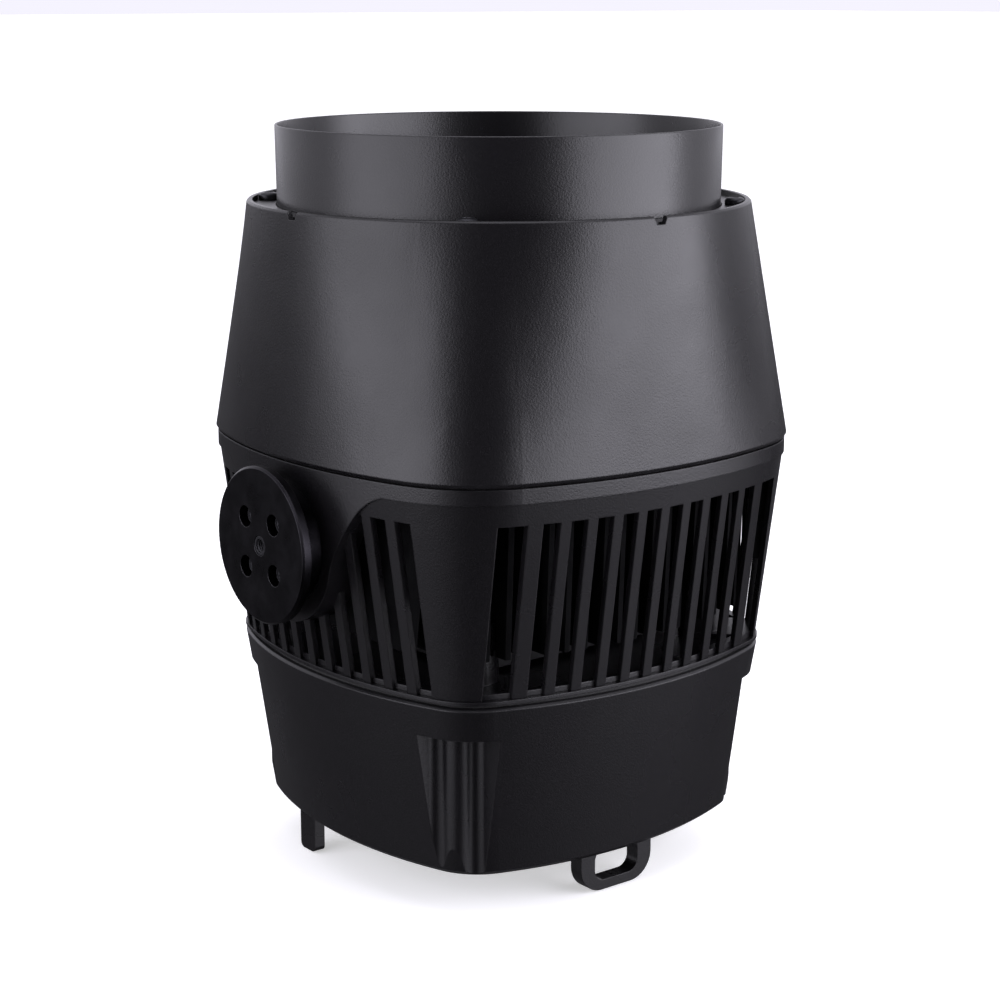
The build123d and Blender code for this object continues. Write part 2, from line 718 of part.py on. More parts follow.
def bracket_screws():
    return group(screw(x, y, FLOOR_TOP, 14.0, M3_WIDE) for x, y in bracket_screw_points())


def loop():
    """Hanging loop on the -Y side: a rounded plate with a slot under the cover."""
    half = LOOP_WIDTH / 2
    plate = block((-half, half), (-LOOP_FACE, -LOOP_FACE + LOOP_THICKNESS), (0, COVER_BOTTOM))
    corners = plate.edges().filter_by(Axis.Y).group_by(Axis.Z)[0]
    plate = fillet(corners, LOOP_CORNER)
    for side in (-1, 1):
        x = side * (half + LOOP_FLARE)
        flare = block(sorted((side * (half - 1), x)), (-LOOP_FACE, -LOOP_FACE + LOOP_THICKNESS),
                      (COVER_BOTTOM - LOOP_FLARE, COVER_BOTTOM))
        hollow = Pos(x, -LOOP_Y, COVER_BOTTOM - LOOP_FLARE) * Rot(90, 0, 0) * Cylinder(LOOP_FLARE, 20)
        plate += flare - hollow
    slot = block((-SLOT_HALF_WIDTH, SLOT_HALF_WIDTH), (-100, -60), (SLOT_LOW, COVER_BOTTOM - 0.6))
    low = slot.edges().filter_by(Axis.Y).group_by(Axis.Z)[0]
    high = slot.edges().filter_by(Axis.Y).group_by(Axis.Z)[-1]
    slot = fillet(low + high, 5.5)
    for x in (-LEG_X, LEG_X):
        plate -= tube(1.6, BRACKET_HOLE_LOW, COVER_BOTTOM + 1, x, -LOOP_Y)
    return plate - slot


def foot():
    """Small standing foot on the -X side."""
    solid = block((-FOOT_X, -FOOT_X + FOOT_THICKNESS), (FOOT_Y - FOOT_WIDTH / 2, FOOT_Y + FOOT_WIDTH / 2),
                  (0, COVER_BOTTOM))
    low = solid.edges().filter_by(Axis.X).group_by(Axis.Z)[0]
    return fillet(low, FOOT_ROUND) - tube(1.6, BRACKET_HOLE_LOW, COVER_BOTTOM + 1, -FOOT_MIDDLE, FOOT_Y)


def standing_feet():
    return group(Rot(0, 0, turn) * foot() for turn in (0, 180))


def socket_places():
    """Name and centre of each round panel socket."""
    return [
        ("power_inlet", -SOCKET_X, -SOCKET_Y),
        ("power_outlet", -SOCKET_X, SOCKET_Y),
        ("data_inlet", SOCKET_X, -SOCKET_Y),
        ("data_outlet", SOCKET_X, SOCKET_Y),
    ]


def corner_pocket():
    """Recess under a corner's step, drawn outwards along +X, with a rounded rib between two flutes."""
    def on(side, place):
        return (place[0], place[1] * side)

    edges = [ThreePointArc(on(-1, RIB_FOOT), POCKET_CREST, on(1, RIB_FOOT))]
    for side in (-1, 1):
        edges.append(ThreePointArc(on(side, RIB_FOOT), on(side, FLUTE_FLOOR), on(side, FLUTE_LIP)))
        edges.append(Line(on(side, FLUTE_LIP), on(side, POCKET_MOUTH)))
    edges.append(Line(on(1, POCKET_MOUTH), on(-1, POCKET_MOUTH)))
    low = COVER_BOTTOM - 1
    return extrude(Pos(0, 0, low) * make_face(Wire(edges)), POCKET_TOP - low, dir=(0, 0, 1))


def rear_cover():
    outer = loft_levels([
        (COVER_BOTTOM, shrink(PLAN_COVER_LOW, 2.2)),
        (COVER_BOTTOM + 2.2, blend(PLAN_COVER_LOW, PLAN_COVER_TOP, 0.03)),
        (COVER_TOP - 1.0, PLAN_COVER_TOP),
        (COVER_TOP, shrink(PLAN_COVER_TOP, 1.0)),
    ])
    cavity = loft_levels([
        (FLOOR_TOP, shrink(PLAN_COVER_LOW, WALL + 0.8)),
        (COVER_TOP + 1, shrink(PLAN_COVER_TOP, WALL + 0.8)),
    ])
    shell = outer - cavity
    backing = block((90, 130), (-24, 24), (COVER_BOTTOM, COVER_TOP))
    # each pocket stands off its corner, towards the face with the tilt hub
    for turn, side in ((45, -1), (135, 1), (225, -1), (315, 1)):
        spin = Rot(0, 0, turn) * Pos(0, side * POCKET_OFFSET, 0)
        shell += (spin * backing) & outer
        shell -= spin * corner_pocket()
    for x, y in bracket_screw_points():
        shell -= tube(1.6, COVER_BOTTOM - 1, FLOOR_TOP + 1, x, y)
    for x, y in corner_points(CORNER_CIRCLE):
        shell -= tube(REAR_WELL_RADIUS, COVER_BOTTOM - 1, REAR_SCREW_SEAT, x, y)
        shell -= drill(2.75, x, y)
    for _, x, y in socket_places():
        shell -= tube(SOCKET_RADIUS + 0.2, COVER_BOTTOM - 1, FLOOR_TOP + 1, x, y)
        for screw_x, screw_y in socket_screw_points(x, y):
            shell -= tube(1.6, COVER_BOTTOM - 1, FLOOR_TOP + 1, screw_x, screw_y)
    rear_wall = (COVER_BOTTOM - 1, FLOOR_TOP + 1)
    latch_y = SOCKET_Y + LATCH_OFFSET
    shell -= block((SOCKET_X - 4, SOCKET_X + 4), (latch_y - 2.6, latch_y + 2.4), rear_wall)
    shell -= block((-29, 29), (-12, 40), rear_wall)
    for radius, place in ((6.2, FUSE_PLACE), (5.0, VENT_PLACE), (2.5, EARTH_PLACE)):
        shell -= tube(radius, COVER_BOTTOM - 1, FLOOR_TOP + 1, *place)
    return shell


def rear_screws():
    pieces = []
    for x, y in corner_points(CORNER_CIRCLE):
        pieces.append(screw(x, y, REAR_SCREW_SEAT, 48.0, M5, up=False))
    return group(pieces)


# ---- rear panel ----
def socket_screw_points(x, y):
    """The two screws in a socket's flange, on one diagonal."""
    return [(x + side * 9.5, y + side * 12.0) for side in (-1, 1)]


def socket(name, x, y):
    """Round panel socket on a square flange that stands just proud of the rear face."""
    half_x, half_y, thickness = SOCKET_FLANGE
    low = COVER_BOTTOM - thickness
    flange = block((x - half_x, x + half_x), (y - half_y, y + half_y), (low, COVER_BOTTOM))
    flange = fillet(flange.edges().filter_by(Axis.Z), 3.0)
    body = flange + tube(SOCKET_RADIUS, COVER_BOTTOM - 1, 46.0, x, y)
    for screw_x, screw_y in socket_screw_points(x, y):
        body -= tube(1.6, low - 1, 30, screw_x, screw_y)
    if name.startswith("power"):
        body -= tube(POWER_CUP_RADIUS, low - 1, 38.0, x, y) - tube(5.0, CORE_LOW, 39.0, x, y)
        for turn in (0, 120, 240):
            body -= Pos(x, y, 0) * Rot(0, 0, turn) * block((1.4, 3.8), (-0.9, 0.9), (low - 1, 32.0))
    else:
        body -= tube(DATA_CUP_RADIUS, low - 1, 36.0, x, y)
        if name == "data_outlet":
            body += tube(8.2, CORE_LOW, 37.0, x, y)
            latch_y = y + LATCH_OFFSET
            body -= block((x - 3.7, x + 3.7), (latch_y - 2, latch_y + 2), (low - 1, COVER_BOTTOM + 3))
        for turn in range(5):
            angle = math.radians(200 + turn * 35)
            px, py = x + CONTACT_CIRCLE * math.cos(angle), y + CONTACT_CIRCLE * math.sin(angle)
            if name == "data_outlet":
                body -= tube(1.3, 25.0, 33.0, px, py)
            else:
                body += tube(1.2, 24.0, 37.0, px, py)
    return body


def data_latch():
    """Press tab that frees the data lead."""
    x, y = SOCKET_X, SOCKET_Y + LATCH_OFFSET
    low = COVER_BOTTOM - 4.4
    tab = block((x - 3.3, x + 3.3), (y - 1.6, y + 1.6), (low, COVER_BOTTOM - 0.2))
    return fillet(tab.edges().filter_by(Axis.Z), 0.6)


def socket_screws():
    pieces = []
    for _, x, y in socket_places():
        for screw_x, screw_y in socket_screw_points(x, y):
            pieces.append(screw(screw_x, screw_y, COVER_BOTTOM - SOCKET_FLANGE[2], 8.0, M3, up=False))
    return group(pieces)


def panel_screw_points():
    """One screw in each corner of the control panel."""
    low_y, high_y = PANEL_YS
    x = PANEL_X - PANEL_SCREW_INSET
    ys = (low_y + PANEL_SCREW_INSET, high_y - PANEL_SCREW_INSET)
    return [(side * x, y) for side in (-1, 1) for y in ys]


def board_screw_points():
    """One screw in each corner of the control board."""
    low_y, high_y = BOARD_YS
    x = BOARD_X - BOARD_SCREW_INSET
    ys = (low_y + BOARD_SCREW_INSET, high_y - BOARD_SCREW_INSET)
    return [(side * x, y) for side in (-1, 1) for y in ys]


def control_panel():
    """Plate over the rear window, with the display opening and four button holes."""
    plate = block((-PANEL_X, PANEL_X), PANEL_YS, (COVER_BOTTOM - PANEL_THICKNESS, COVER_BOTTOM))
    plate = fillet(plate.edges().filter_by(Axis.Z), 3.0)
    plate -= block((-WINDOW_X, WINDOW_X), WINDOW_YS, (UNDER_ALL, OVER_ALL))
    for x in BUTTON_XS:
        plate -= drill(BUTTON_RADIUS + 0.4, x, BUTTON_Y)
    for x, y in panel_screw_points():
        plate -= drill(1.4, x, y)
    return plate


def panel_screws():
    seat = COVER_BOTTOM - PANEL_THICKNESS
    return group(screw(x, y, seat, PANEL_THICKNESS, PANEL_SCREW, up=False) for x, y in panel_screw_points())


def display_window():
    return block((-WINDOW_X, WINDOW_X), WINDOW_YS, (COVER_BOTTOM - 1.2, COVER_BOTTOM + 0.4))


def display_module():
    return block((-27, 27), (9, 38.5), (COVER_BOTTOM + 0.4, COVER_BOTTOM + 5.0))


def menu_button(x):
    """Cap with a collar behind the panel and a stem that meets its switch."""
    cap = tube(BUTTON_RADIUS, COVER_BOTTOM - 3.6, COVER_BOTTOM + 0.4, x, BUTTON_Y)
    edge = cap.edges().group_by(Axis.Z)[0]
    cap = fillet(edge, 0.8)
    return cap + tube(5.6, COVER_BOTTOM + 0.35, COVER_BOTTOM + 1.4, x, BUTTON_Y)


def button_switches():
    pieces = []
    base = COVER_BOTTOM + 1.4 + BUTTON_TRAVEL + 0.2
    for x in BUTTON_XS:
        body = block((x - 3, x + 3), (BUTTON_Y - 3, BUTTON_Y + 3), (base, BOARD_LOW))
        pieces.append(body)
    return group(pieces)


def control_board():
    board = block((-BOARD_X, BOARD_X), BOARD_YS, (BOARD_LOW, BOARD_TOP))
    for x, y in board_screw_points():
        board -= drill(1.6, x, y)
    return board


def board_spacers():
    return group(tube(2.8, FLOOR_TOP, BOARD_LOW, x, y) - drill(1.6, x, y) for x, y in board_screw_points())


def board_screws():
    return group(screw(x, y, BOARD_TOP, 5.0, M3) for x, y in board_screw_points())


def fuse_holder():
    x, y = FUSE_PLACE
    solid = tube(6.0, COVER_BOTTOM - 1, 50.0, x, y) + tube(8.0, COVER_BOTTOM - 4.0, COVER_BOTTOM, x, y)
    return solid - block((x - 6, x + 6), (y - 0.9, y + 0.9), (COVER_BOTTOM - 6, COVER_BOTTOM - 2.6))


def breather_vent():
    vent = Pos(*VENT_PLACE, COVER_BOTTOM - 1.5) * extrude(RegularPolygon(8.0, 6), 1.5)
    return vent + tube(4.8, COVER_BOTTOM - 1.5, 30.0, *VENT_PLACE)


def earth_stud():
    head = Pos(*EARTH_PLACE, COVER_BOTTOM - 3.2) * extrude(RegularPolygon(4.6, 6), 3.2)
    return head + tube(2.4, COVER_BOTTOM - 3.2, 34.0, *EARTH_PLACE)


def power_supply():
    box = block((-SUPPLY_X, SUPPLY_X), (-SUPPLY_Y, SUPPLY_Y), (SUPPLY_LOW, DECK_BOTTOM))
    box = fillet(box.edges().filter_by(Axis.Z), 4.0)
    for index in range(-4, 5):
        slot = (index * 12 - 2, index * 12 + 2)
        for side in (-1, 1):
            depth = sorted((side * (SUPPLY_Y - 6), side * (SUPPLY_Y + 4)))
            box -= block(slot, depth, (SUPPLY_LOW + 8, SUPPLY_LOW + 34))
    return box


save("front_ring", front_ring())
save("front_plate", front_plate())
save("front_screws", front_screws())
save("front_housing", front_housing())
save("reflector", reflector())
save("lens", lens())
save("lens_gasket", lens_gasket())
save("lens_retainer", lens_retainer())
save("lens_screws", lens_screws())
save("pillars", pillars())
save("thermal_pad", thermal_pad())
save("led_board", led_board())
save("led_emitters", led_emitters())
save("led_board_screws", led_board_screws())
save("heat_sink", heat_sink())
save("sink_screws", sink_screws())
save("louvre_housing", louvre_housing())
save("front_gasket", front_gasket())
save("housing_tie_screws", housing_tie_screws())
for label, side in (("left", -1), ("right", 1)):
    save(f"tilt_hub_{label}", hub(side))
    save(f"hub_insert_{label}", hub_insert(side))
save("hub_nut_plates", hub_nut_plates())
save("hub_screws", hub_screws())
save("fan_frame", fan_frame())
save("fan_rotor", fan_rotor())
save("fan_screws", fan_screws())
save("deck_plate", deck_plate())
save("cable_grommet", cable_grommet())
save("rear_gasket", rear_gasket())
save("rear_cover", rear_cover())
save("rear_screws", rear_screws())
save("hanging_loop_front", loop())
save("hanging_loop_back", Rot(0, 0, 180) * loop())
save("standing_feet", standing_feet())
save("bracket_screws", bracket_screws())
for place in socket_places():
    save(place[0], socket(*place))
save("data_latch", data_latch())
save("socket_screws", socket_screws())
save("control_panel", control_panel())
save("panel_screws", panel_screws())
save("display_window", display_window())
save("display_module", display_module())
for number, x in enumerate(BUTTON_XS, start=1):
    save(f"menu_button_{number}", menu_button(x))
save("button_switches", button_switches())
save("control_board", control_board())
save("board_spacers", board_spacers())
save("board_screws", board_screws())
save("fuse_holder", fuse_holder())
save("breather_vent", breather_vent())
save("earth_stud", earth_stud())
save("power_supply", power_supply())
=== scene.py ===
"""LED stage light head: finishes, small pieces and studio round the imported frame."""

import json
import math

import bmesh
import bpy
from mathutils import Matrix, Vector


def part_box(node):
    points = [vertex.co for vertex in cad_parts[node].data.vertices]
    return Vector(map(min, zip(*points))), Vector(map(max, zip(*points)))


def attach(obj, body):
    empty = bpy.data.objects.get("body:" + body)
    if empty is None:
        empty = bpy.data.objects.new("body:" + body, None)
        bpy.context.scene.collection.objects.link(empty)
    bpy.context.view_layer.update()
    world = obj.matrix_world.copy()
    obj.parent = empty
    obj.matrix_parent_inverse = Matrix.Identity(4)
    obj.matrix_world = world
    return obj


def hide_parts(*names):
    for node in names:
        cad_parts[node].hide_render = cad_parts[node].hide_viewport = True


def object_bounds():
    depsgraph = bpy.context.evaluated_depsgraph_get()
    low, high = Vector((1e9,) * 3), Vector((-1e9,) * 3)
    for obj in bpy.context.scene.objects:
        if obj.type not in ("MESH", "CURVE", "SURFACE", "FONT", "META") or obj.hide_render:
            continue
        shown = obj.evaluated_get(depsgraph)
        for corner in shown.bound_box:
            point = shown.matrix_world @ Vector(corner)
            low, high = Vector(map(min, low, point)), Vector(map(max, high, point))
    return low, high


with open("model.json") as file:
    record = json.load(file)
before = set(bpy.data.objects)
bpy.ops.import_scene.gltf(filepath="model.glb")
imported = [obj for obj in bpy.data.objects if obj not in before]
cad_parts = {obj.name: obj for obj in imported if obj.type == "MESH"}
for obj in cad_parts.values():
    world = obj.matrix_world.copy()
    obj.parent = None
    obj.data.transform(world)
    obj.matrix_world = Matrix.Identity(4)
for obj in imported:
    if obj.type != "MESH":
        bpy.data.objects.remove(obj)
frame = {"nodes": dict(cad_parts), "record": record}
CAD_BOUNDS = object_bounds()

bl_info = {
    "name": "Stage light head",
    "version": (1, 0, 0),
    "blender": (4, 5, 0),
    "location": "View3D > Sidebar > Light head",
    "description": "Builds the finishes and small pieces of an LED stage light head round its frame",
    "category": "Object",
}

MM = 0.001
HEAD = "head"
RING_STEPS = 256
SMALL_STEPS = 48
ROD_STEPS = 24
SMOOTH_ANGLE = math.radians(32)
SENSOR_WIDTH = 36.0

# Screw heads: radius, height, half the width of the drive, depth of the drive
HUB_HEAD = (4.25 * MM, 5 * MM, 2.1 * MM, 2.8 * MM)
REAR_HEAD = (4.65 * MM, 3.4 * MM, 1.75 * MM, 1.7 * MM)
FLANGE_HEAD = (2.7 * MM, 1.8 * MM, 1.1 * MM, 1.0 * MM)
PANEL_HEAD = (2.3 * MM, 1.3 * MM, 0.9 * MM, 0.8 * MM)
FRONT_DRIVE = (1.75 * MM, 1.7 * MM)
LONG_SHANK = 2.45 * MM
DRIVE_GROWTH = 1.07

FLOOR_GAP = 0.0005
FLOOR_GLOW = 0.45
AIM_HEIGHT = 0.16


def low(node):
    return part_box(node)[0]


def high(node):
    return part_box(node)[1]


def middle(node):
    return (low(node) + high(node)) / 2


PLATE_TOP = high("front_plate").z
RING_TOP = high("front_ring").z
REAR_FACE = low("rear_cover").z
PIVOT = Vector((0.0, 0.0, middle("tilt_hub_left").z))


# ---- sizes and colours that a user would change ----
class FinishSettings(bpy.types.PropertyGroup):
    coat_colour: bpy.props.StringProperty(
        name="Coat colour", description="sRGB hex of the powder coat", default="0b0a0c")
    coat_grain: bpy.props.FloatProperty(
        name="Coat grain", description="Width of one bump of the powder coat",
        default=0.8 * MM, unit="LENGTH", precision=5)
    coat_depth: bpy.props.FloatProperty(
        name="Coat depth", description="Height of the powder coat's bumps",
        default=0.07 * MM, unit="LENGTH", precision=6)
    # How far the edges are painted paler: partly wear, partly a painted edge highlight.
    edge_wear_and_highlight: bpy.props.FloatProperty(
        name="Edge wear", description="How much the coat brightens along its edges",
        default=0.35, min=0.0, max=1.0, subtype="FACTOR")
    edge_radius: bpy.props.FloatProperty(
        name="Edge radius", description="Radius that casting and coating leave on an edge",
        default=0.7 * MM, unit="LENGTH", precision=5)


class RingSettings(bpy.types.PropertyGroup):
    radius: bpy.props.FloatProperty(
        name="Radius", description="Outer radius of the ring's lip",
        default=100.0 * MM, unit="LENGTH", precision=4)
    foot_radius: bpy.props.FloatProperty(
        name="Foot radius", description="Outer radius where the ring meets its plate",
        default=99.55 * MM, unit="LENGTH", precision=4)
    wall: bpy.props.FloatProperty(
        name="Wall", description="Thickness of the rolled sheet",
        default=1.2 * MM, unit="LENGTH", precision=4)
    bead: bpy.props.FloatProperty(
        name="Bead", description="Radius of the weld bead at the ring's foot",
        default=0.25 * MM, unit="LENGTH", precision=5)


class FastenerSettings(bpy.types.PropertyGroup):
    front_head: bpy.props.FloatProperty(
        name="Front head", description="Radius of the front plate's screw heads",
        default=4.5 * MM, unit="LENGTH", precision=4)
    front_height: bpy.props.FloatProperty(
        name="Front height", description="Height of the front plate's screw heads",
        default=3.4 * MM, unit="LENGTH", precision=4)
    front_circle: bpy.props.FloatProperty(
        name="Front circle", description="Distance of the front screws from the optical axis",
        default=105.8 * MM, unit="LENGTH", precision=4)
    hub_circle: bpy.props.FloatProperty(
        name="Hub circle", description="Distance of the hub screws from the tilt axis",
        default=15.65 * MM, unit="LENGTH", precision=4)
    hub_seat: bpy.props.FloatProperty(
        name="Hub seat", description="Distance of the hub screws' seats from the optical axis",
        default=121.5 * MM, unit="LENGTH", precision=4)
    thread_pitch: bpy.props.FloatProperty(
        name="Thread pitch", description="Pitch of the tilt insert's thread",
        default=1.0 * MM, unit="LENGTH", precision=4)


class StageSettings(bpy.types.PropertyGroup):
    camera_distance: bpy.props.FloatProperty(
        name="Camera distance", description="From the optical axis, along the floor",
        default=0.9981, unit="LENGTH", precision=4)
    camera_height: bpy.props.FloatProperty(
        name="Camera height", description="Above the floor", default=0.3919, unit="LENGTH", precision=4)
    camera_turn: bpy.props.FloatProperty(
        name="Camera turn", description="Turn of the view about the optical axis",
        default=math.radians(-38.0), subtype="ANGLE")
    camera_tilt: bpy.props.FloatProperty(
        name="Camera tilt", description="How far the camera looks down",
        default=math.radians(12.93), subtype="ANGLE")
    camera_lens: bpy.props.FloatProperty(
        name="Camera lens", description="Focal length in millimetres on a 36 mm sensor", default=79.3)
    camera_shift: bpy.props.FloatProperty(
        name="Camera shift", description="Sideways shift as a share of the width", default=0.0012)
    light_colour: bpy.props.StringProperty(
        name="Light colour", description="sRGB hex of the softboxes and the studio walls", default="f6f4ff")
    floor_colour: bpy.props.StringProperty(
        name="Floor colour", description="sRGB hex of the floor", default="f7f7f7")
    floor_radius: bpy.props.FloatProperty(
        name="Floor radius", description="Half the floor's width", default=40.0, unit="LENGTH")


class HeadSettings(bpy.types.PropertyGroup):
    finish: bpy.props.PointerProperty(type=FinishSettings)
    ring: bpy.props.PointerProperty(type=RingSettings)
    fasteners: bpy.props.PointerProperty(type=FastenerSettings)
    stage: bpy.props.PointerProperty(type=StageSettings)


def settings():
    return bpy.context.scene.light_head


# ---- materials ----
def linear(hex_colour):
    """An sRGB hex colour as the linear values that shaders take."""
    values = [int(hex_colour[i:i + 2], 16) / 255 for i in (0, 2, 4)]
    values = [v / 12.92 if v <= 0.04045 else ((v + 0.055) / 1.055) ** 2.4 for v in values]
    return (*values, 1.0)


def add(tree, kind, options=None, links=None):
    """One node: options are its attributes, or its inputs by name or number; links join inputs to outputs."""
    node = tree.nodes.new(kind)
    for key, value in (options or {}).items():
        if isinstance(key, str) and hasattr(node, key):
            setattr(node, key, value)
    for key, value in (options or {}).items():
        if not (isinstance(key, str) and hasattr(node, key)):
            node.inputs[key].default_value = value
    for key, source in (links or {}).items():
        tree.links.new(source, node.inputs[key])
    return node


def start(name, **sockets):
    """A new material with its shader's plain sockets set."""
    material = bpy.data.materials.new(name)
    material.use_nodes = True
    shader = material.node_tree.nodes["Principled BSDF"]
    for key, value in sockets.items():
        shader.inputs[key.replace("_", " ")].default_value = value
    return material, material.node_tree, shader


def noise(tree, width, detail=3.0, stretch=(1, 1, 1), offset=(0, 0, 0)):
    """Soft noise whose bumps are about width metres across, on the object's own coordinates."""
    place = add(tree, "ShaderNodeTexCoord")
    mapping = add(tree, "ShaderNodeMapping", {"Scale": stretch, "Location": offset},
                  {"Vector": place.outputs["Object"]})
    return add(tree, "ShaderNodeTexNoise", {"Scale": 1.0 / width, "Detail": detail},
               {"Vector": mapping.outputs[0]})


def spread(tree, source, from_low, from_high, to_low, to_high):
    """A value stretched from one range to another, and kept inside it."""
    return add(tree, "ShaderNodeMapRange",
               {1: from_low, 2: from_high, 3: to_low, 4: to_high}, {0: source}).outputs[0]


def uneven(tree, pattern, first, second):
    """A value that drifts from first to second over the middle of a soft noise."""
    return spread(tree, pattern.outputs[0], 0.3, 0.7, first, second)


def blend_colour(tree, share, first, second):
    """Two colours mixed by a share; each is a value or an output."""
    node = add(tree, "ShaderNodeMix", {"data_type": "RGBA"}, {0: share})
    for number, colour in ((6, first), (7, second)):
        if isinstance(colour, tuple):
            node.inputs[number].default_value = colour
        else:
            tree.links.new(colour, node.inputs[number])
    return node.outputs[2]


def bump(tree, height, depth, normal=None):
    """A bump whose full height is depth metres."""
    links = {"Height": height}
    if normal is not None:
        links["Normal"] = normal
    return add(tree, "ShaderNodeBump", {"Strength": 1.0, "Distance": depth}, links).outputs[0]


def rounded_edge(tree, radius):
    """The surface's normal with its edges softened, and how near an edge each point is."""
    soft = add(tree, "ShaderNodeBevel", {"samples": 4, "Radius": radius})
    place = add(tree, "ShaderNodeNewGeometry")
    across = add(tree, "ShaderNodeVectorMath", {"operation": "DOT_PRODUCT"},
                 {0: soft.outputs[0], 1: place.outputs["Normal"]})
    return soft.outputs[0], spread(tree, across.outputs["Value"], 0.995, 0.8, 0.0, 1.0)


def lighter(hex_colour, by):
    """The same hex colour, raised by a few steps."""
    return "".join(f"{min(255, int(hex_colour[i:i + 2], 16) + by):02x}" for i in (0, 2, 4))


def mottled(tree, pattern, base, by):
    """The base colour, drifting to one that is a few steps lighter."""
    return blend_colour(tree, uneven(tree, pattern, 0.0, 1.0), linear(base), linear(lighter(base, by)))


def dress(tree, shader, tone, roughness, normal):
    """Links a finish's colour, roughness and normal to its shader."""
    tree.links.new(tone, shader.inputs["Base Color"])
    tree.links.new(roughness, shader.inputs["Roughness"])
    tree.links.new(normal, shader.inputs["Normal"])


def powder_coat(name, base, grain, depth, rough, wear, radius):
    """Die-cast or sheet aluminium under sprayed and baked powder: fine orange peel, satin,
    softly rounded edges, paler in rubbed patches: partly wear where hands rub, partly a painted edge
    highlight."""
    material, tree, shader = start(name, IOR=1.5, Specular_IOR_Level=0.38)
    peel = noise(tree, grain, 2.0)
    cloud = noise(tree, 40 * MM, 3.0)
    speck = noise(tree, grain * 0.6, 1.0, offset=(3, 1, 2))
    normal, edge = rounded_edge(tree, radius)
    tone = mottled(tree, cloud, base, 4)
    specks = spread(tree, speck.outputs[0], 0.62, 0.72, 0.0, 0.35)
    tone = blend_colour(tree, specks, tone, linear(lighter(base, 20)))
    # Edges painted paler in rubbed patches: partly wear, partly a painted edge highlight.
    rub = noise(tree, 6 * MM, 4.0)
    worn_and_highlit = add(tree, "ShaderNodeMath", {"operation": "MULTIPLY"},
               {0: edge, 1: spread(tree, rub.outputs[0], 0.4, 0.65, 0.0, wear)}).outputs[0]
    tone = blend_colour(tree, worn_and_highlit, tone, linear(lighter(base, 40)))
    satin = uneven(tree, cloud, rough + 0.04, rough - 0.04)
    dress(tree, shader, tone, satin, bump(tree, peel.outputs[0], depth, normal))
    return material


def metal(name, base, rough, grain, depth, stretch=(1, 1, 1), metallic=1.0, gloss=0.5):
    """Bare or anodised metal: fine tool or blast texture, with faint smudges in its gloss."""
    material, tree, shader = start(name, Metallic=metallic, Specular_IOR_Level=gloss)
    fine = noise(tree, grain, 2.0, stretch)
    smudge = noise(tree, 14 * MM, 4.0)
    normal, edge = rounded_edge(tree, 0.25 * MM)
    tone = mottled(tree, smudge, base, 10)
    # Edges painted paler than the rest: a painted edge highlight.
    tone = blend_colour(tree, spread(tree, edge, 0.2, 1.0, 0.0, 0.4), tone, linear(lighter(base, 40)))
    dress(tree, shader, tone, uneven(tree, smudge, rough - 0.05, rough + 0.08),
          bump(tree, fine.outputs[0], depth, normal))
    return material


def turned_metal(name, base, rough, centre, pitch, depth):
    """Metal faced on a lathe: very fine rings about the tilt axis catch the light in arcs.
    The wave repeats every 0.314 of its unit, so its scale is that over the tool's pitch."""
    material, tree, shader = start(name, Metallic=1.0)
    place = add(tree, "ShaderNodeTexCoord")
    mapping = add(tree, "ShaderNodeMapping", {"Location": tuple(-v for v in centre)},
                  {"Vector": place.outputs["Object"]})
    rings = add(tree, "ShaderNodeTexWave",
                {"wave_type": "RINGS", "rings_direction": "X", "Scale": 0.314 / pitch, "Distortion": 0.4},
                {"Vector": mapping.outputs[0]})
    smudge = noise(tree, 9 * MM, 4.0)
    normal, edge = rounded_edge(tree, 0.4 * MM)
    tone = mottled(tree, smudge, base, 8)
    # Edges painted much paler than the anodised face: a painted edge highlight.
    tone = blend_colour(tree, spread(tree, edge, 0.1, 1.0, 0.0, 0.55), tone, linear(lighter(base, 70)))
    dress(tree, shader, tone, uneven(tree, smudge, rough - 0.04, rough + 0.06),
          bump(tree, rings.outputs[0], depth, normal))
    return material


def moulded(name, base, rough, grain, depth, **sockets):
    """Moulded plastic or rubber: spark-eroded mould texture and slightly uneven gloss."""
    material, tree, shader = start(name, **sockets)
    fine = noise(tree, grain, 3.0)
    cloud = noise(tree, 10 * MM, 3.0)
    normal, _ = rounded_edge(tree, 0.3 * MM)
    tone = mottled(tree, cloud, base, 8)
    dress(tree, shader, tone, uneven(tree, cloud, rough - 0.05, rough + 0.05),
          bump(tree, fine.outputs[0], depth, normal))
    return material


def pebbled_glass():
    """Pressed optical glass with a pebbled back that softens the beam."""
    material, tree, shader = start("pressed_pebbled_glass", IOR=1.52, Transmission_Weight=1.0)
    place = add(tree, "ShaderNodeTexCoord")
    pebbles = add(tree, "ShaderNodeTexVoronoi", {"Scale": 1.0 / (4 * MM), "feature": "SMOOTH_F1"},
                  {"Vector": place.outputs["Object"]})
    haze = noise(tree, 20 * MM, 3.0)
    tree.links.new(bump(tree, pebbles.outputs["Distance"], 0.12 * MM), shader.inputs["Normal"])
    tree.links.new(uneven(tree, haze, 0.03, 0.09), shader.inputs["Roughness"])
    shader.inputs["Base Color"].default_value = linear("eef4f3")
    return material


def facetted_reflector():
    """Spun and brightened aluminium, peened into small facets."""
    material, tree, shader = start("brightened_peened_aluminium", Metallic=1.0)
    place = add(tree, "ShaderNodeTexCoord")
    facets = add(tree, "ShaderNodeTexVoronoi", {"Scale": 1.0 / (5 * MM)}, {"Vector": place.outputs["Object"]})
    haze = noise(tree, 12 * MM, 3.0)
    tree.links.new(bump(tree, facets.outputs["Distance"], 0.25 * MM), shader.inputs["Normal"])
    tree.links.new(uneven(tree, haze, 0.1, 0.2), shader.inputs["Roughness"])
    shader.inputs["Base Color"].default_value = linear("dcdee0")
    return material


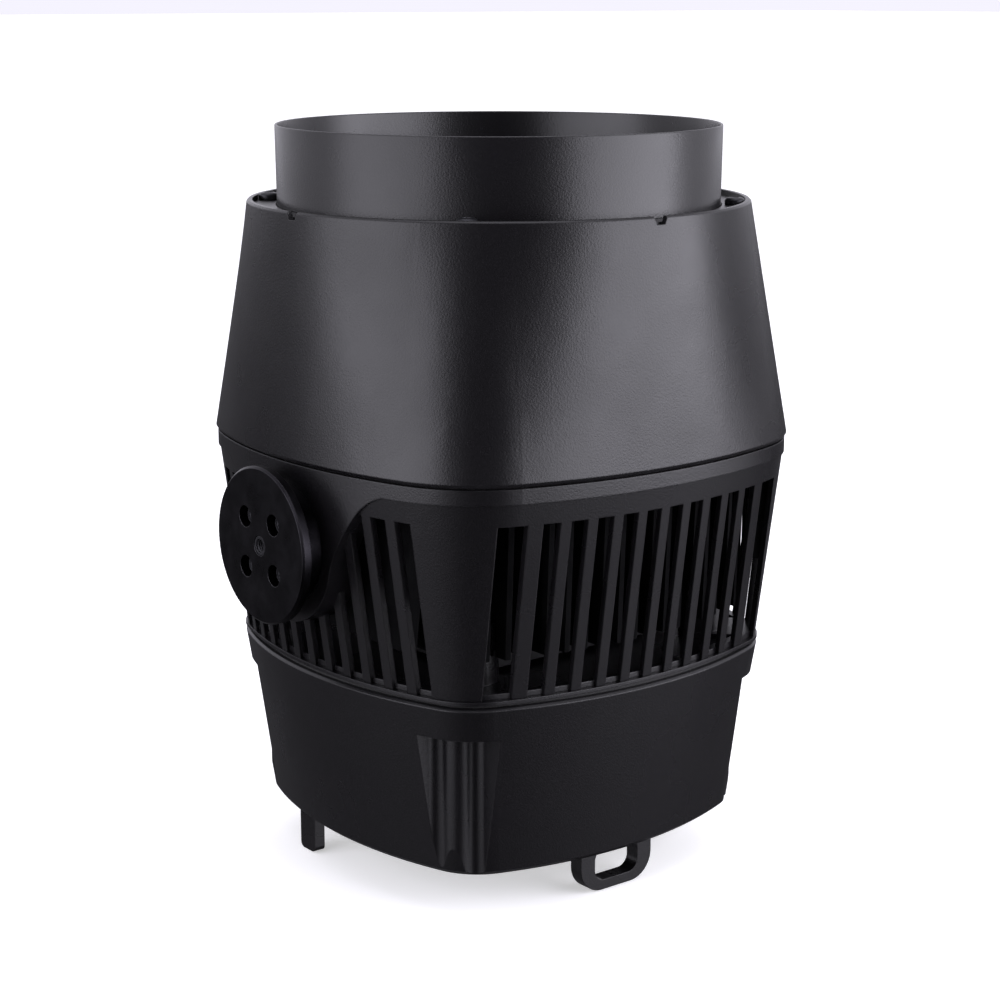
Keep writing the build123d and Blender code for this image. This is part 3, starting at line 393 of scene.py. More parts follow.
def circuit_board():
    """Glass-fibre laminate under green solder mask, with copper tracks showing paler through it."""
    material, tree, shader = start("solder_masked_laminate", IOR=1.5)
    place = add(tree, "ShaderNodeTexCoord")
    tracks = add(tree, "ShaderNodeTexBrick", {"Scale": 1.0 / (9 * MM), "Mortar Size": 0.06, "offset": 0.37},
                 {"Vector": place.outputs["Object"]})
    tracks.inputs["Color1"].default_value = linear("0f4a2c")
    tracks.inputs["Color2"].default_value = linear("13552f")
    tracks.inputs["Mortar"].default_value = linear("2f7a4c")
    weave = noise(tree, 0.6 * MM, 2.0)
    dress(tree, shader, tracks.outputs["Color"], uneven(tree, weave, 0.28, 0.4),
          bump(tree, weave.outputs[0], 0.02 * MM))
    return material


def all_finishes():
    """Every finish, by the record's material slot."""
    look = settings().finish
    coat = (look.coat_colour, look.coat_grain, look.coat_depth)
    return {
        "shell_coat": powder_coat("powder_coated_die_casting", *coat, 0.29, look.edge_wear_and_highlight, look.edge_radius),
        "plate_coat": powder_coat("powder_coated_sheet", *coat, 0.28, look.edge_wear_and_highlight, look.edge_radius * 0.7),
        "black_anodised": turned_metal(
            "turned_black_anodised_aluminium", "201f22", 0.3, PIVOT, 0.5 * MM, 0.008 * MM),
        "sink_anodised": metal(
            "extruded_black_anodised_aluminium", "050506", 0.75, 0.6 * MM, 0.02 * MM,
            (1, 1, 0.05), 0.0, gloss=0.08),
        "bright_aluminium": facetted_reflector(),
        "mill_aluminium": metal(
            "mill_finish_aluminium_sheet", "a4a6a8", 0.36, 0.5 * MM, 0.01 * MM, (1, 0.04, 1)),
        "bright_steel": metal("zinc_plated_turned_steel", "b6b4ae", 0.28, 0.3 * MM, 0.006 * MM),
        "black_steel": metal("black_zinc_plated_steel", "29292c", 0.34, 0.4 * MM, 0.01 * MM, (1, 1, 1), 0.7),
        "lens_glass": pebbled_glass(),
        "seal_rubber": moulded("moulded_seal_rubber", "141414", 0.72, 0.7 * MM, 0.03 * MM),
        "button_rubber": moulded("moulded_silicone_rubber", "2b2b2d", 0.6, 0.5 * MM, 0.02 * MM),
        "board_laminate": circuit_board(),
        "board_white": moulded("white_solder_mask", "e6e5df", 0.4, 0.8 * MM, 0.01 * MM),
        "emitter_resin": moulded(
            "phosphor_and_clear_resin", "e2c34a", 0.16, 0.5 * MM, 0.004 * MM, IOR=1.5, Coat_Weight=0.8),
        "fan_plastic": moulded(
            "glass_filled_moulded_polyester", "0e0e0f", 0.55, 0.6 * MM, 0.03 * MM, Specular_IOR_Level=0.3),
        "socket_plastic": moulded("gloss_moulded_polyamide", "18181a", 0.28, 0.9 * MM, 0.01 * MM),
        "window_plastic": moulded(
            "polished_tinted_polycarbonate", "08090c", 0.08, 6 * MM, 0.004 * MM, Coat_Weight=0.5),
        "panel_plastic": moulded("textured_polycarbonate_sheet", "222225", 0.55, 0.6 * MM, 0.03 * MM),
        "contact_gold": metal("gold_flashed_brass", "c9a04a", 0.22, 0.4 * MM, 0.004 * MM),
        "chip_resin": moulded("moulded_chip_resin", "1a1a1b", 0.48, 0.4 * MM, 0.012 * MM),
        "screen_glow": moulded("lit_display_cells", "9fb6c4", 0.4, 0.6 * MM, 0.004 * MM),
    }


FINISHES = {}


def finish_of(slot):
    if not FINISHES:
        FINISHES.update(all_finishes())
    return FINISHES[slot]


# ---- mesh helpers ----
def place_piece(bm, name, slot, body=HEAD, finish=None, replaced=()):
    """Turns a bmesh into a finished piece at the origin, riding on its body."""
    bmesh.ops.remove_doubles(bm, verts=bm.verts, dist=0.002 * MM)
    bmesh.ops.recalc_face_normals(bm, faces=bm.faces)
    mesh = bpy.data.meshes.new(name)
    bm.to_mesh(mesh)
    bm.free()
    piece = bpy.data.objects.new(name, mesh)
    bpy.context.scene.collection.objects.link(piece)
    mesh.materials.append(finish_of(finish or slot))
    for face in mesh.polygons:
        face.use_smooth = True
    mesh.set_sharp_from_angle(angle=SMOOTH_ANGLE)
    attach(piece, body)
    if replaced:
        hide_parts(*replaced)
    return piece


def spin_profile(bm, points, matrix=None, steps=SMALL_STEPS, closed=True):
    """Revolves (radius, height) points about Z, then moves the new vertices by a matrix."""
    verts = [bm.verts.new((radius, 0.0, height)) for radius, height in points]
    pairs = list(zip(verts, verts[1:]))
    if closed:
        pairs.append((verts[-1], verts[0]))
    edges = [bm.edges.new(pair) for pair in pairs]
    before = set(bm.verts) - set(verts)
    bmesh.ops.spin(bm, geom=verts + edges, cent=(0, 0, 0), axis=(0, 0, 1), dvec=(0, 0, 0),
                   angle=2 * math.pi, steps=steps, use_merge=True, use_duplicate=False)
    bmesh.ops.remove_doubles(bm, verts=[v for v in bm.verts if v not in before], dist=0.001 * MM)
    made = [v for v in bm.verts if v not in before]
    if matrix is not None:
        bmesh.ops.transform(bm, matrix=matrix, verts=made)
    return made


def block(bm, centre, size, edge=0.0, matrix=None):
    """A box, with bevelled edges where an edge width is given."""
    made = bmesh.ops.create_cube(bm, size=1.0)["verts"]
    bmesh.ops.scale(bm, vec=size, verts=made)
    bmesh.ops.translate(bm, vec=centre, verts=made)
    if edge:
        edges = list({e for v in made for e in v.link_edges})
        result = bmesh.ops.bevel(bm, geom=edges, offset=edge, offset_type="OFFSET", affect="EDGES",
                                 segments=2, profile=0.5, material=-1)
        made = list({v for f in result["faces"] for v in f.verts} | {v for v in made if v.is_valid})
    if matrix is not None:
        bmesh.ops.transform(bm, matrix=matrix, verts=made)


def screw_head(bm, matrix, radius, height, drive, depth, domed=True):
    """A screw head with a six-sided drive, standing on its seat at the matrix and facing its +Z."""
    shoulder = 0.55 if domed else 0.92
    points = [
        (0.0, height - depth),
        (drive, height - depth),
        (drive * 1.12, height - 0.06 * height),
        (drive * 1.25, height),
        (radius * 0.62, height - 0.03 * height * domed),
        (radius * 0.84, height - (0.14 if domed else 0.0) * height),
        (radius * 0.96, height * (shoulder + 0.12)),
        (radius, height * shoulder),
        (radius, 0.04 * height),
        (radius * 0.97, 0.0),
        (0.0, 0.0),
    ]
    made = spin_profile(bm, points, None, closed=False)
    # the drive's round wall is drawn in to a hexagon
    flat = math.pi / 3
    for vert in made:
        reach = math.hypot(vert.co.x, vert.co.y)
        if 0.5 * drive < reach < drive * 1.15 and vert.co.z > 0.01 * height:
            turn = math.atan2(vert.co.y, vert.co.x) % flat - flat / 2
            scale = math.cos(flat / 2) / math.cos(turn)
            vert.co.x *= scale * DRIVE_GROWTH
            vert.co.y *= scale * DRIVE_GROWTH
    bmesh.ops.transform(bm, matrix=matrix, verts=made)


def rod(bm, matrix, radius, length):
    """A plain round rod from the matrix's place along its +Z, with broken ends."""
    edge = 0.06 * radius
    points = [(0.0, 0.0), (radius - edge, 0.0), (radius, edge),
              (radius, length - edge), (radius - edge, length), (0.0, length)]
    spin_profile(bm, points, matrix, ROD_STEPS, closed=False)


def at(x, y, z):
    return Matrix.Translation((x, y, z))


def facing_down():
    return Matrix.Rotation(math.pi, 4, "X")


def facing(side):
    """Turns +Z to +X or -X."""
    return Matrix.Rotation(math.copysign(math.pi / 2, side), 4, "Y")


def diagonals(circle):
    leg = circle * math.sqrt(0.5)
    return [(leg, leg), (-leg, leg), (-leg, -leg), (leg, -leg)]


# ---- operators, one for each piece or group of like pieces ----
class LIGHTHEAD_OT_carried_nodes(bpy.types.Operator):
    """Gives every frame node its finish"""
    bl_idname = "lighthead.carried_nodes"
    bl_label = "Finish the frame's nodes"

    def execute(self, context):
        for entry in frame["record"]["subparts"]:
            node = frame["nodes"][entry["node"]]
            node.data.materials.clear()
            node.data.materials.append(finish_of(entry["material_slot"]))
        return {"FINISHED"}


class LIGHTHEAD_OT_front_ring(bpy.types.Operator):
    """Rolled ring with a rounded lip and a weld bead at its plate"""
    bl_idname = "lighthead.front_ring"
    bl_label = "Front ring"

    def execute(self, context):
        ring = settings().ring
        base = low("front_ring").z
        plate_low = low("front_plate").z
        lip = ring.wall / 2
        flange = ring.foot_radius + 4 * MM
        seam = plate_low - 0.05 * MM
        bm = bmesh.new()
        spin_profile(bm, [
            (ring.foot_radius - ring.wall, base),
            (flange, base),
            (flange, seam),
            (ring.foot_radius, seam),
            (ring.foot_radius, PLATE_TOP - 0.1 * MM),
            (ring.foot_radius + ring.bead, PLATE_TOP + 0.05 * MM),
            (ring.foot_radius + ring.bead * 0.8, PLATE_TOP + 0.35 * MM),
            (ring.foot_radius + 0.02 * MM, PLATE_TOP + 0.9 * MM),
            (ring.radius, RING_TOP - lip),
            (ring.radius - lip * 0.3, RING_TOP - lip * 0.3),
            (ring.radius - lip, RING_TOP),
            (ring.radius - lip * 1.7, RING_TOP - lip * 0.3),
            (ring.radius - ring.wall, RING_TOP - lip),
            (ring.foot_radius - ring.wall, PLATE_TOP),
        ], steps=RING_STEPS)
        place_piece(bm, "rolled_front_ring", "shell_coat", replaced=("front_ring",))
        return {"FINISHED"}


class LIGHTHEAD_OT_front_screws(bpy.types.Operator):
    """Pan-head screws with six-sided drives on the front plate"""
    bl_idname = "lighthead.front_screws"
    bl_label = "Front screws"

    def execute(self, context):
        sizes = settings().fasteners
        shank = 14 * MM
        bm = bmesh.new()
        for x, y in diagonals(sizes.front_circle):
            screw_head(bm, at(x, y, PLATE_TOP), sizes.front_head, sizes.front_height, *FRONT_DRIVE)
            rod(bm, at(x, y, PLATE_TOP - shank), LONG_SHANK, shank)
        place_piece(bm, "front_pan_screws", "black_steel", replaced=("front_screws",))
        return {"FINISHED"}


class LIGHTHEAD_OT_hub_screws(bpy.types.Operator):
    """Socket-head screws in the hubs' counterbores"""
    bl_idname = "lighthead.hub_screws"
    bl_label = "Hub screws"

    def execute(self, context):
        sizes = settings().fasteners
        shank = 19 * MM
        bm = bmesh.new()
        for side in (-1, 1):
            for y, z in diagonals(sizes.hub_circle):
                turn = Matrix.Translation((side * sizes.hub_seat, y, PIVOT.z + z)) @ facing(side)
                screw_head(bm, turn, *HUB_HEAD, domed=False)
                rod(bm, turn @ at(0, 0, -shank), LONG_SHANK, shank)
        place_piece(bm, "hub_socket_screws", "black_steel", replaced=("hub_screws",))
        return {"FINISHED"}


class LIGHTHEAD_OT_tilt_inserts(bpy.types.Operator):
    """Threaded steel inserts in the middle of both hubs"""
    bl_idname = "lighthead.tilt_inserts"
    bl_label = "Tilt inserts"

    def execute(self, context):
        pitch = settings().fasteners.thread_pitch
        root, crest = 2.98 * MM, 2.52 * MM
        for label, side in (("left", -1), ("right", 1)):
            node = f"hub_insert_{label}"
            near, far = sorted(abs(v) for v in (low(node).x, high(node).x))
            length = far - near
            points = [(3.1 * MM, length), (4.1 * MM, length), (4.38 * MM, length - 0.3 * MM),
                      (4.38 * MM, 1.5 * MM), (5.95 * MM, 1.5 * MM), (5.95 * MM, 0.0), (3.0 * MM, 0.0)]
            level = 0.0
            while level + pitch < length - 0.6 * MM:
                points.append((root, level + 0.1 * pitch))
                points.append((crest, level + 0.5 * pitch))
                points.append((crest, level + 0.62 * pitch))
                level += pitch
            points.append((root, level + 0.1 * pitch))
            bm = bmesh.new()
            spin_profile(bm, points, Matrix.Translation((side * near, 0, PIVOT.z)) @ facing(side))
            place_piece(bm, f"threaded_insert_{label}", "black_steel", replaced=(node,))
        return {"FINISHED"}


class LIGHTHEAD_OT_rear_screws(bpy.types.Operator):
    """Long screws in the rear cover's corner wells, and the small ones of the sockets and the panel"""
    bl_idname = "lighthead.rear_screws"
    bl_label = "Rear screws"

    def execute(self, context):
        box_low, box_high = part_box("rear_screws")
        bm = bmesh.new()
        inset = 4.7 * MM
        under_head = box_low.z + REAR_HEAD[1]
        for x, y in diagonals((box_high.x - inset) * math.sqrt(2)):
            seat = at(x, y, under_head)
            screw_head(bm, seat @ facing_down(), *REAR_HEAD)
            rod(bm, seat, LONG_SHANK, box_high.z - under_head)
        place_piece(bm, "rear_cover_screws", "black_steel", replaced=("rear_screws",))
        bm = bmesh.new()
        for name in ("power_inlet", "power_outlet", "data_inlet", "data_outlet"):
            centre = middle(name)
            for side in (-1, 1):
                seat = at(centre.x + side * 9.5 * MM, centre.y + side * 12 * MM, low(name).z)
                screw_head(bm, seat @ facing_down(), *FLANGE_HEAD)
                rod(bm, seat, 1.45 * MM, 8 * MM)
        place_piece(bm, "socket_flange_screws", "black_steel", replaced=("socket_screws",))
        bm = bmesh.new()
        box_low, box_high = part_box("panel_screws")
        inset, tall = PANEL_HEAD[:2]
        for x in (box_low.x + inset, box_high.x - inset):
            for y in (box_low.y + inset, box_high.y - inset):
                seat = at(x, y, box_low.z + tall)
                screw_head(bm, seat @ facing_down(), *PANEL_HEAD)
                rod(bm, seat, 1.32 * MM, 1.6 * MM)
        place_piece(bm, "control_panel_screws", "black_steel", replaced=("panel_screws",))
        return {"FINISHED"}


class LIGHTHEAD_OT_menu_buttons(bpy.types.Operator):
    """Domed rubber buttons, each with a raised sign: two arrows up and down, a ring and a bar"""
    bl_idname = "lighthead.menu_buttons"
    bl_label = "Menu buttons"

    def execute(self, context):
        for number in range(1, 5):
            node = f"menu_button_{number}"
            centre, base = middle(node), low(node).z
            depth = high(node).z - base
            collar = depth - 1.05 * MM
            turn = at(centre.x, centre.y, base + depth) @ facing_down()
            bm = bmesh.new()
            spin_profile(bm, [
                (0.0, 0.0), (5.6 * MM, 0.0),
                (5.6 * MM, depth - collar - 0.05 * MM), (4.5 * MM, depth - collar),
                (4.5 * MM, depth - 1.1 * MM), (4.3 * MM, depth - 0.5 * MM), (3.7 * MM, depth - 0.22 * MM),
                (3.3 * MM, depth - 0.35 * MM), (0.0, depth - 0.3 * MM),
            ], turn, closed=False)
            top = turn @ at(0, 0, depth - 0.22 * MM)
            if number <= 2:
                made = bmesh.ops.create_circle(bm, cap_ends=True, radius=1.9 * MM, segments=3)["verts"]
                face = made[0].link_faces[0]
                grown = bmesh.ops.extrude_face_region(bm, geom=[face])["geom"]
                raised = [g for g in grown if isinstance(g, bmesh.types.BMVert)]
                bmesh.ops.translate(bm, vec=(0, 0, 0.2 * MM), verts=raised)
                spin = Matrix.Rotation(math.pi * (number - 1), 4, "Z")
                bmesh.ops.transform(bm, matrix=top @ spin, verts=made + raised)
            elif number == 3:
                block(bm, (0, 0, 0.1 * MM), (3.2 * MM, 0.8 * MM, 0.2 * MM), 0.06 * MM, top)
            else:
                hoop = [(1.2 * MM, 0), (1.8 * MM, 0), (1.8 * MM, 0.2 * MM), (1.2 * MM, 0.2 * MM)]
                spin_profile(bm, hoop, top)
            place_piece(bm, f"rubber_button_{number}", "button_rubber", f"button_{number}", replaced=(node,))
        return {"FINISHED"}


class LIGHTHEAD_OT_socket_contacts(bpy.types.Operator):
    """Gilt pins, sleeves and blades in the data sockets and the power sockets"""
    bl_idname = "lighthead.socket_contacts"
    bl_label = "Socket contacts"

    def execute(self, context):
        contact_circle, contact_steps = 5.6 * MM, 20
        pin_tip, sleeve_mouth, blade_middle = 23.6 * MM, 26.6 * MM, 29.5 * MM
        bm = bmesh.new()
        for name in ("data_inlet", "data_outlet"):
            centre = middle(name)
            for step in range(5):
                angle = math.radians(200 + 35 * step)
                x = centre.x + contact_circle * math.cos(angle)
                y = centre.y + contact_circle * math.sin(angle)
                if name == "data_inlet":
                    pin = [(0.0, 0.0), (0.7 * MM, 0.0), (1.24 * MM, 0.8 * MM),
                           (1.24 * MM, 12.4 * MM), (0, 12.4 * MM)]
                    spin_profile(bm, pin, at(x, y, pin_tip), contact_steps, closed=False)
                else:
                    sleeve = [(0.7 * MM, 0.0), (1.25 * MM, 0.0), (1.25 * MM, 5 * MM), (0.7 * MM, 5 * MM)]
                    spin_profile(bm, sleeve, at(x, y, sleeve_mouth), contact_steps)
        place_piece(bm, "data_contacts", "bright_steel", finish="contact_gold")
        bm = bmesh.new()
        for name in ("power_inlet", "power_outlet"):
            centre = middle(name)
            for step in range(3):
                turn = at(centre.x, centre.y, 0) @ Matrix.Rotation(math.radians(120 * step), 4, "Z")
                block(bm, (2.6 * MM, 0, blade_middle), (2.0 * MM, 1.1 * MM, 5 * MM), 0.15 * MM, turn)
        place_piece(bm, "power_contacts", "bright_steel", finish="contact_gold")
        return {"FINISHED"}


class LIGHTHEAD_OT_fuse_cap(bpy.types.Operator):
    """Knurled fuse cap with a screwdriver slot, and its body behind the panel"""
    bl_idname = "lighthead.fuse_cap"
    bl_label = "Fuse cap"

    def execute(self, context):
        box_low, box_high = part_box("fuse_holder")
        centre = middle("fuse_holder")
        reach = (box_high.x - box_low.x) / 2
        knurls, knurl_depth = 24, 0.03
        bm = bmesh.new()
        turn = at(centre.x, centre.y, REAR_FACE) @ facing_down()
        made = spin_profile(bm, [
            (0.0, 0.0), (reach, 0.0), (reach, 1.0 * MM), (reach - 1.0 * MM, 1.2 * MM),
            (reach - 1.2 * MM, 3.6 * MM), (reach - 1.6 * MM, 4.0 * MM),
            (3.4 * MM, 4.0 * MM), (3.2 * MM, 3.4 * MM), (0.0, 3.4 * MM),
        ], None, 72, closed=False)
        for vert in made:
            span = math.hypot(vert.co.x, vert.co.y)
            if reach - 1.3 * MM < span < reach - 0.9 * MM:
                ridge = 1 - knurl_depth * (1 + math.cos(knurls * math.atan2(vert.co.y, vert.co.x)))
                vert.co.x *= ridge
                vert.co.y *= ridge
        bmesh.ops.transform(bm, matrix=turn, verts=made)
        block(bm, (0, 0, 3.5 * MM), (6.0 * MM, 1.6 * MM, 0.25 * MM), 0.05 * MM, turn)
        rod(bm, at(centre.x, centre.y, REAR_FACE), 5.95 * MM, box_high.z - REAR_FACE)
        place_piece(bm, "knurled_fuse_cap", "socket_plastic", replaced=("fuse_holder",))
        return {"FINISHED"}


class LIGHTHEAD_OT_earth_stud(bpy.types.Operator):
    """Earth bolt with a chamfered hexagon, a washer and its shank"""
    bl_idname = "lighthead.earth_stud"
    bl_label = "Earth stud"

    def execute(self, context):
        centre = middle("earth_stud")
        box_low, box_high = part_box("earth_stud")
        bm = bmesh.new()
        turn = at(centre.x, centre.y, REAR_FACE) @ facing_down()
        spin_profile(bm, [(0, 0), (4.5 * MM, 0), (4.5 * MM, 0.5 * MM), (0, 0.5 * MM)], turn, closed=False)
        hexagon = [(0, 0.5 * MM), (4.55 * MM, 0.5 * MM), (4.55 * MM, 2.7 * MM),
                   (3.8 * MM, 3.15 * MM), (0, 3.15 * MM)]
        spin_profile(bm, hexagon, turn, 6, closed=False)
        rod(bm, at(centre.x, centre.y, REAR_FACE), 2.35 * MM, box_high.z - REAR_FACE)
        place_piece(bm, "hexagon_earth_bolt", "bright_steel", replaced=("earth_stud",))
        return {"FINISHED"}


class LIGHTHEAD_OT_display_cells(bpy.types.Operator):
    """Rows of lit cells behind the display's window"""
    bl_idname = "lighthead.display_cells"
    bl_label = "Display cells"

    def execute(self, context):
        box_low, box_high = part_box("display_window")
        bm = bmesh.new()
        columns, rows = 14, 2
        cell = (1.9 * MM, 3.4 * MM, 0.08 * MM)
        level = box_low.z - 0.03 * MM
        for row in range(rows):
            for column in range(columns):
                x = box_low.x + 6 * MM + column * 2.77 * MM
                y = box_low.y + (8 + 9 * row) * MM
                block(bm, (x, y, level), cell)
        place_piece(bm, "display_cells", "window_plastic", finish="screen_glow")
        return {"FINISHED"}


class LIGHTHEAD_OT_emitters(bpy.types.Operator):
    """LED emitters: a ceramic square and a dome of phosphor and clear resin each"""
    bl_idname = "lighthead.emitters"
    bl_label = "Emitters"

    def execute(self, context):
        base = high("led_board").z
        pitch, field = 8.5 * MM, 26.5 * MM
        square = (3.5 * MM, 3.5 * MM, 0.7 * MM)
        dome = [(0, 0.7 * MM), (1.5 * MM, 0.7 * MM), (1.42 * MM, 1.2 * MM), (1.12 * MM, 1.7 * MM),
                (0.6 * MM, 2.05 * MM), (0, 2.18 * MM)]
        squares, domes = bmesh.new(), bmesh.new()
        for row in range(6):
            for column in range(6):
                x, y = (row - 2.5) * pitch, (column - 2.5) * pitch
                if math.hypot(x, y) > field:
                    continue
                block(squares, (x, y, base + square[2] / 2), square, 0.08 * MM)
                spin_profile(domes, dome, at(x, y, base), 16, closed=False)
        place_piece(squares, "emitter_squares", "board_white")
        place_piece(domes, "emitter_domes", "emitter_resin", replaced=("led_emitters",))
        return {"FINISHED"}


class LIGHTHEAD_OT_board_parts(bpy.types.Operator):
    """Chips, capacitors and plugs on the control board"""
    bl_idname = "lighthead.board_parts"
    bl_label = "Board parts"

    def execute(self, context):
        top = high("control_board").z
        chips = bmesh.new()
        # place and size of each chip and plug, in millimetres
        for x, y, wide, deep, tall in (
            (-10, 20, 14, 14, 1.6), (12, 26, 9, 7, 1.5), (14, 10, 7, 5, 1.4), (-26, 28, 6, 5, 1.4),
            (-12, 2, 8, 5, 1.5), (26, 2, 6, 8, 2.2), (-28, 6, 9, 6, 5.5), (28, 30, 6, 12, 6.0),
        ):
            block(chips, (x * MM, y * MM, top + tall * MM / 2), (wide * MM, deep * MM, tall * MM), 0.25 * MM)
        place_piece(chips, "board_chips", "fan_plastic", finish="chip_resin")
        cans = bmesh.new()
        can = [(0, 0), (2.9 * MM, 0), (3.0 * MM, 0.5 * MM),
               (3.0 * MM, 6.6 * MM), (2.6 * MM, 7.0 * MM), (0, 7.0 * MM)]
        for x, y in ((0, 38), (8, 38), (-22, 40), (24, 18)):
            spin_profile(cans, can, at(x * MM, y * MM, top), 28, closed=False)
        place_piece(cans, "board_capacitors", "bright_steel")
        return {"FINISHED"}


class LIGHTHEAD_OT_fan_blades(bpy.types.Operator):
    """Fan rotor with seven twisted blades and a dished hub"""
    bl_idname = "lighthead.fan_blades"
    bl_label = "Fan rotor"

    def execute(self, context):
        box_low, box_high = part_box("fan_rotor")
        base, tall = box_low.z, box_high.z - box_low.z
        blades, blade_thickness = 7, 1.2 * MM
        highest = 0.46 * tall
        bm = bmesh.new()
        spin_profile(bm, [
            (2.06 * MM, 0.2 * MM), (16 * MM, 0.2 * MM), (19.8 * MM, 1.2 * MM), (19.8 * MM, tall - 2.5 * MM),
            (18.6 * MM, tall - 0.6 * MM), (16 * MM, tall - 0.05 * MM), (10 * MM, tall - 0.9 * MM),
            (0.0, tall - 0.9 * MM), (0.0, tall - 1.6 * MM), (2.06 * MM, tall - 1.6 * MM),
        ], at(0, 0, base), 72, closed=False)
        for index in range(blades):
            made = bmesh.ops.create_grid(bm, x_segments=10, y_segments=6, size=0.5)["verts"]
            for vert in made:
                along, across = vert.co.x + 0.5, vert.co.y
                reach = (19.0 + along * 36.0) * MM
                pitch = math.radians(46 - 16 * along)
                chord = (17.0 + 6.0 * along) * MM * across
                rise = math.sin(pitch) * chord + 1.4 * MM * (0.25 - across * across)
                rise = max(-highest, min(highest, rise))
                sweep = (math.cos(pitch) * chord) / reach + 0.1 * along
                vert.co = (reach * math.cos(sweep), reach * math.sin(sweep), base + tall / 2 + rise)
            faces = list({f for v in made for f in v.link_faces})
            grown = bmesh.ops.solidify(bm, geom=faces, thickness=blade_thickness)["geom"]
            new = {g for g in grown if isinstance(g, bmesh.types.BMVert)}
            verts = list({v for v in made if v.is_valid} | new)
            turn = Matrix.Rotation(index * 2 * math.pi / blades, 3, "Z")
            bmesh.ops.rotate(bm, cent=(0, 0, 0), matrix=turn, verts=verts)
        place_piece(bm, "twisted_fan_rotor", "fan_plastic", "rotor", replaced=("fan_rotor",))
        return {"FINISHED"}


def lay_floor(stage, scene):
    """A wide pale floor that glows a little, so that it stays even, and shows in no reflection."""
    bm = bmesh.new()
    bmesh.ops.create_grid(bm, x_segments=2, y_segments=2, size=stage.floor_radius)
    mesh = bpy.data.meshes.new("floor")
    bm.to_mesh(mesh)
    bm.free()
    floor = bpy.data.objects.new("floor", mesh)
    scene.collection.objects.link(floor)
    floor.location.z = CAD_BOUNDS[0][2] - FLOOR_GAP
    material, _, _ = start("matt_painted_floor", Roughness=0.9, Base_Color=linear(stage.floor_colour),
                           Emission_Color=(1, 1, 1, 1), Emission_Strength=FLOOR_GLOW)
    mesh.materials.append(material)
    floor.visible_glossy = False


def set_camera(stage, scene, view):
    lens = bpy.data.cameras.new("camera")
    lens.lens = stage.camera_lens
    lens.sensor_width = SENSOR_WIDTH
    lens.shift_x = stage.camera_shift
    lens.clip_end = 100.0
    lens.dof.use_dof = False
    camera = bpy.data.objects.new("camera", lens)
    scene.collection.objects.link(camera)
    camera.location = view * stage.camera_distance + Vector((0, 0, stage.camera_height))
    camera.rotation_euler = (math.pi / 2 - stage.camera_tilt, 0.0, stage.camera_turn)
    scene.camera = camera


def hang_softboxes(scene, left, right, daylight):
    """Three soft lights: one to each side of the front corner, and one overhead."""
    for name, place, size, power in (
        ("left_softbox", left * 2.0 + Vector((0, 0, 0.7)), (2.0, 1.8), 27.0),
        ("right_softbox", right * 2.0 + Vector((0, 0, 0.7)), (2.4, 1.8), 54.0),
        ("top_softbox", Vector((0, 0, 2.6)), (2.0, 2.0), 14.0),
    ):
        light = bpy.data.lights.new(name, "AREA")
        light.shape = "RECTANGLE"
        light.size, light.size_y = size
        light.energy = power
        light.color = daylight[:3]
        lamp = bpy.data.objects.new(name, light)
        scene.collection.objects.link(lamp)
        lamp.location = place
        aim = Vector((0, 0, AIM_HEIGHT)) - Vector(place)
        lamp.rotation_euler = aim.to_track_quat("-Z", "Y").to_euler()


def paint_studio(scene, view, left, right, daylight):
    """The studio's walls: dark behind the camera, pale behind the head, dark below the horizon,
    with two wide glows to the left and right that draw the coat's highlights."""
    world = bpy.data.worlds.new("studio")
    scene.world = world
    world.use_nodes = True
    tree = world.node_tree
    backdrop = tree.nodes["Background"]
    toward = add(tree, "ShaderNodeTexCoord").outputs["Generated"]
    level = add(tree, "ShaderNodeSeparateXYZ", links={0: toward}).outputs["Z"]
    behind = add(tree, "ShaderNodeVectorMath", {"operation": "DOT_PRODUCT", 1: tuple(view)}, {0: toward})
    strength = add(tree, "ShaderNodeMath", {"operation": "MULTIPLY"}, {
        0: spread(tree, behind.outputs["Value"], 0.0, 0.7, 1.0, 0.03),
        1: spread(tree, level, -0.06, -0.012, 0.1, 1.0),
    }).outputs[0]
    fall = spread(tree, level, -0.5, -0.15, 0.1, 1.0)
    for aim, glow in ((left, 1.35), (right, 2.0)):
        near = add(tree, "ShaderNodeVectorMath", {"operation": "DOT_PRODUCT", 1: (aim.x, aim.y, -0.12)},
                   {0: toward})
        strength = add(tree, "ShaderNodeMath", {"operation": "MULTIPLY_ADD"}, {
            0: spread(tree, near.outputs["Value"], 0.72, 0.97, 0.0, glow), 1: fall, 2: strength,
        }).outputs[0]
    backdrop.inputs["Color"].default_value = daylight
    tree.links.new(strength, backdrop.inputs["Strength"])


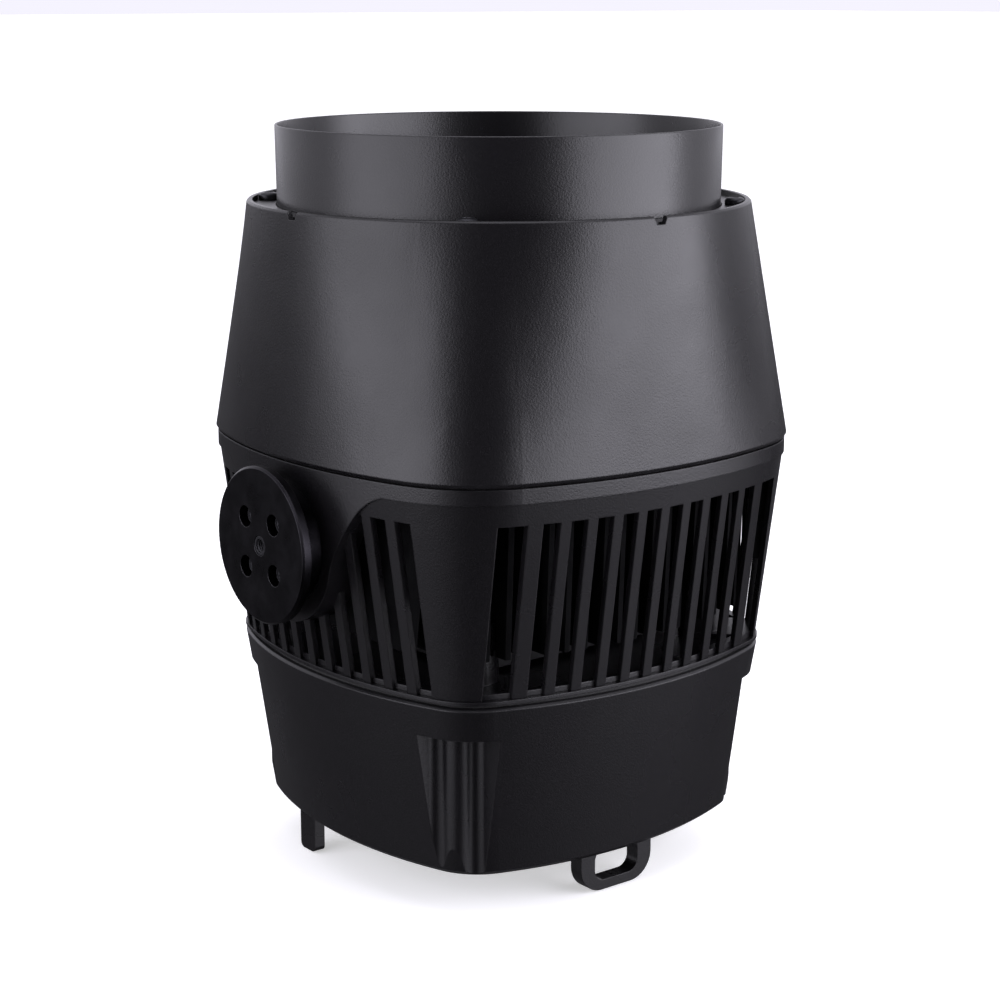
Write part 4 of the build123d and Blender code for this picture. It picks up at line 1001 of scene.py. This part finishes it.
class LIGHTHEAD_OT_stage(bpy.types.Operator):
    """Pale floor, soft studio light and the camera"""
    bl_idname = "lighthead.stage"
    bl_label = "Stage"

    def execute(self, context):
        stage, scene = settings().stage, context.scene
        turn = stage.camera_turn
        view = Vector((math.sin(turn), -math.cos(turn), 0.0))
        left = Matrix.Rotation(math.radians(-57.0), 3, "Z") @ view
        right = Matrix.Rotation(math.radians(69.0), 3, "Z") @ view
        daylight = linear(stage.light_colour)
        lay_floor(stage, scene)
        set_camera(stage, scene, view)
        hang_softboxes(scene, left, right, daylight)
        paint_studio(scene, view, left, right, daylight)
        scene.view_settings.view_transform = "Standard"
        return {"FINISHED"}


STEPS = (
    LIGHTHEAD_OT_carried_nodes, LIGHTHEAD_OT_front_ring, LIGHTHEAD_OT_front_screws, LIGHTHEAD_OT_hub_screws,
    LIGHTHEAD_OT_tilt_inserts, LIGHTHEAD_OT_rear_screws, LIGHTHEAD_OT_menu_buttons,
    LIGHTHEAD_OT_socket_contacts, LIGHTHEAD_OT_fuse_cap, LIGHTHEAD_OT_earth_stud,
    LIGHTHEAD_OT_display_cells, LIGHTHEAD_OT_emitters, LIGHTHEAD_OT_board_parts,
    LIGHTHEAD_OT_fan_blades, LIGHTHEAD_OT_stage,
)


class LIGHTHEAD_PT_pieces(bpy.types.Panel):
    """Lists the head's pieces and their sizes"""
    bl_idname = "LIGHTHEAD_PT_pieces"
    bl_label = "Light head"
    bl_space_type = "VIEW_3D"
    bl_region_type = "UI"
    bl_category = "Light head"

    def draw(self, context):
        for group in ("finish", "ring", "fasteners", "stage"):
            held = getattr(context.scene.light_head, group)
            box = self.layout.box()
            for name in held.__annotations__:
                box.prop(held, name)
        for step in STEPS:
            self.layout.operator(step.bl_idname)


CLASSES = (
    FinishSettings, RingSettings, FastenerSettings, StageSettings, HeadSettings, *STEPS, LIGHTHEAD_PT_pieces,
)


def register():
    for item in CLASSES:
        bpy.utils.register_class(item)
    bpy.types.Scene.light_head = bpy.props.PointerProperty(type=HeadSettings)


def unregister():
    del bpy.types.Scene.light_head
    for item in reversed(CLASSES):
        bpy.utils.unregister_class(item)


def main():
    register()
    for step in STEPS:
        area, name = step.bl_idname.split(".")
        getattr(getattr(bpy.ops, area), name)()


if __name__ == "__main__":
    main()
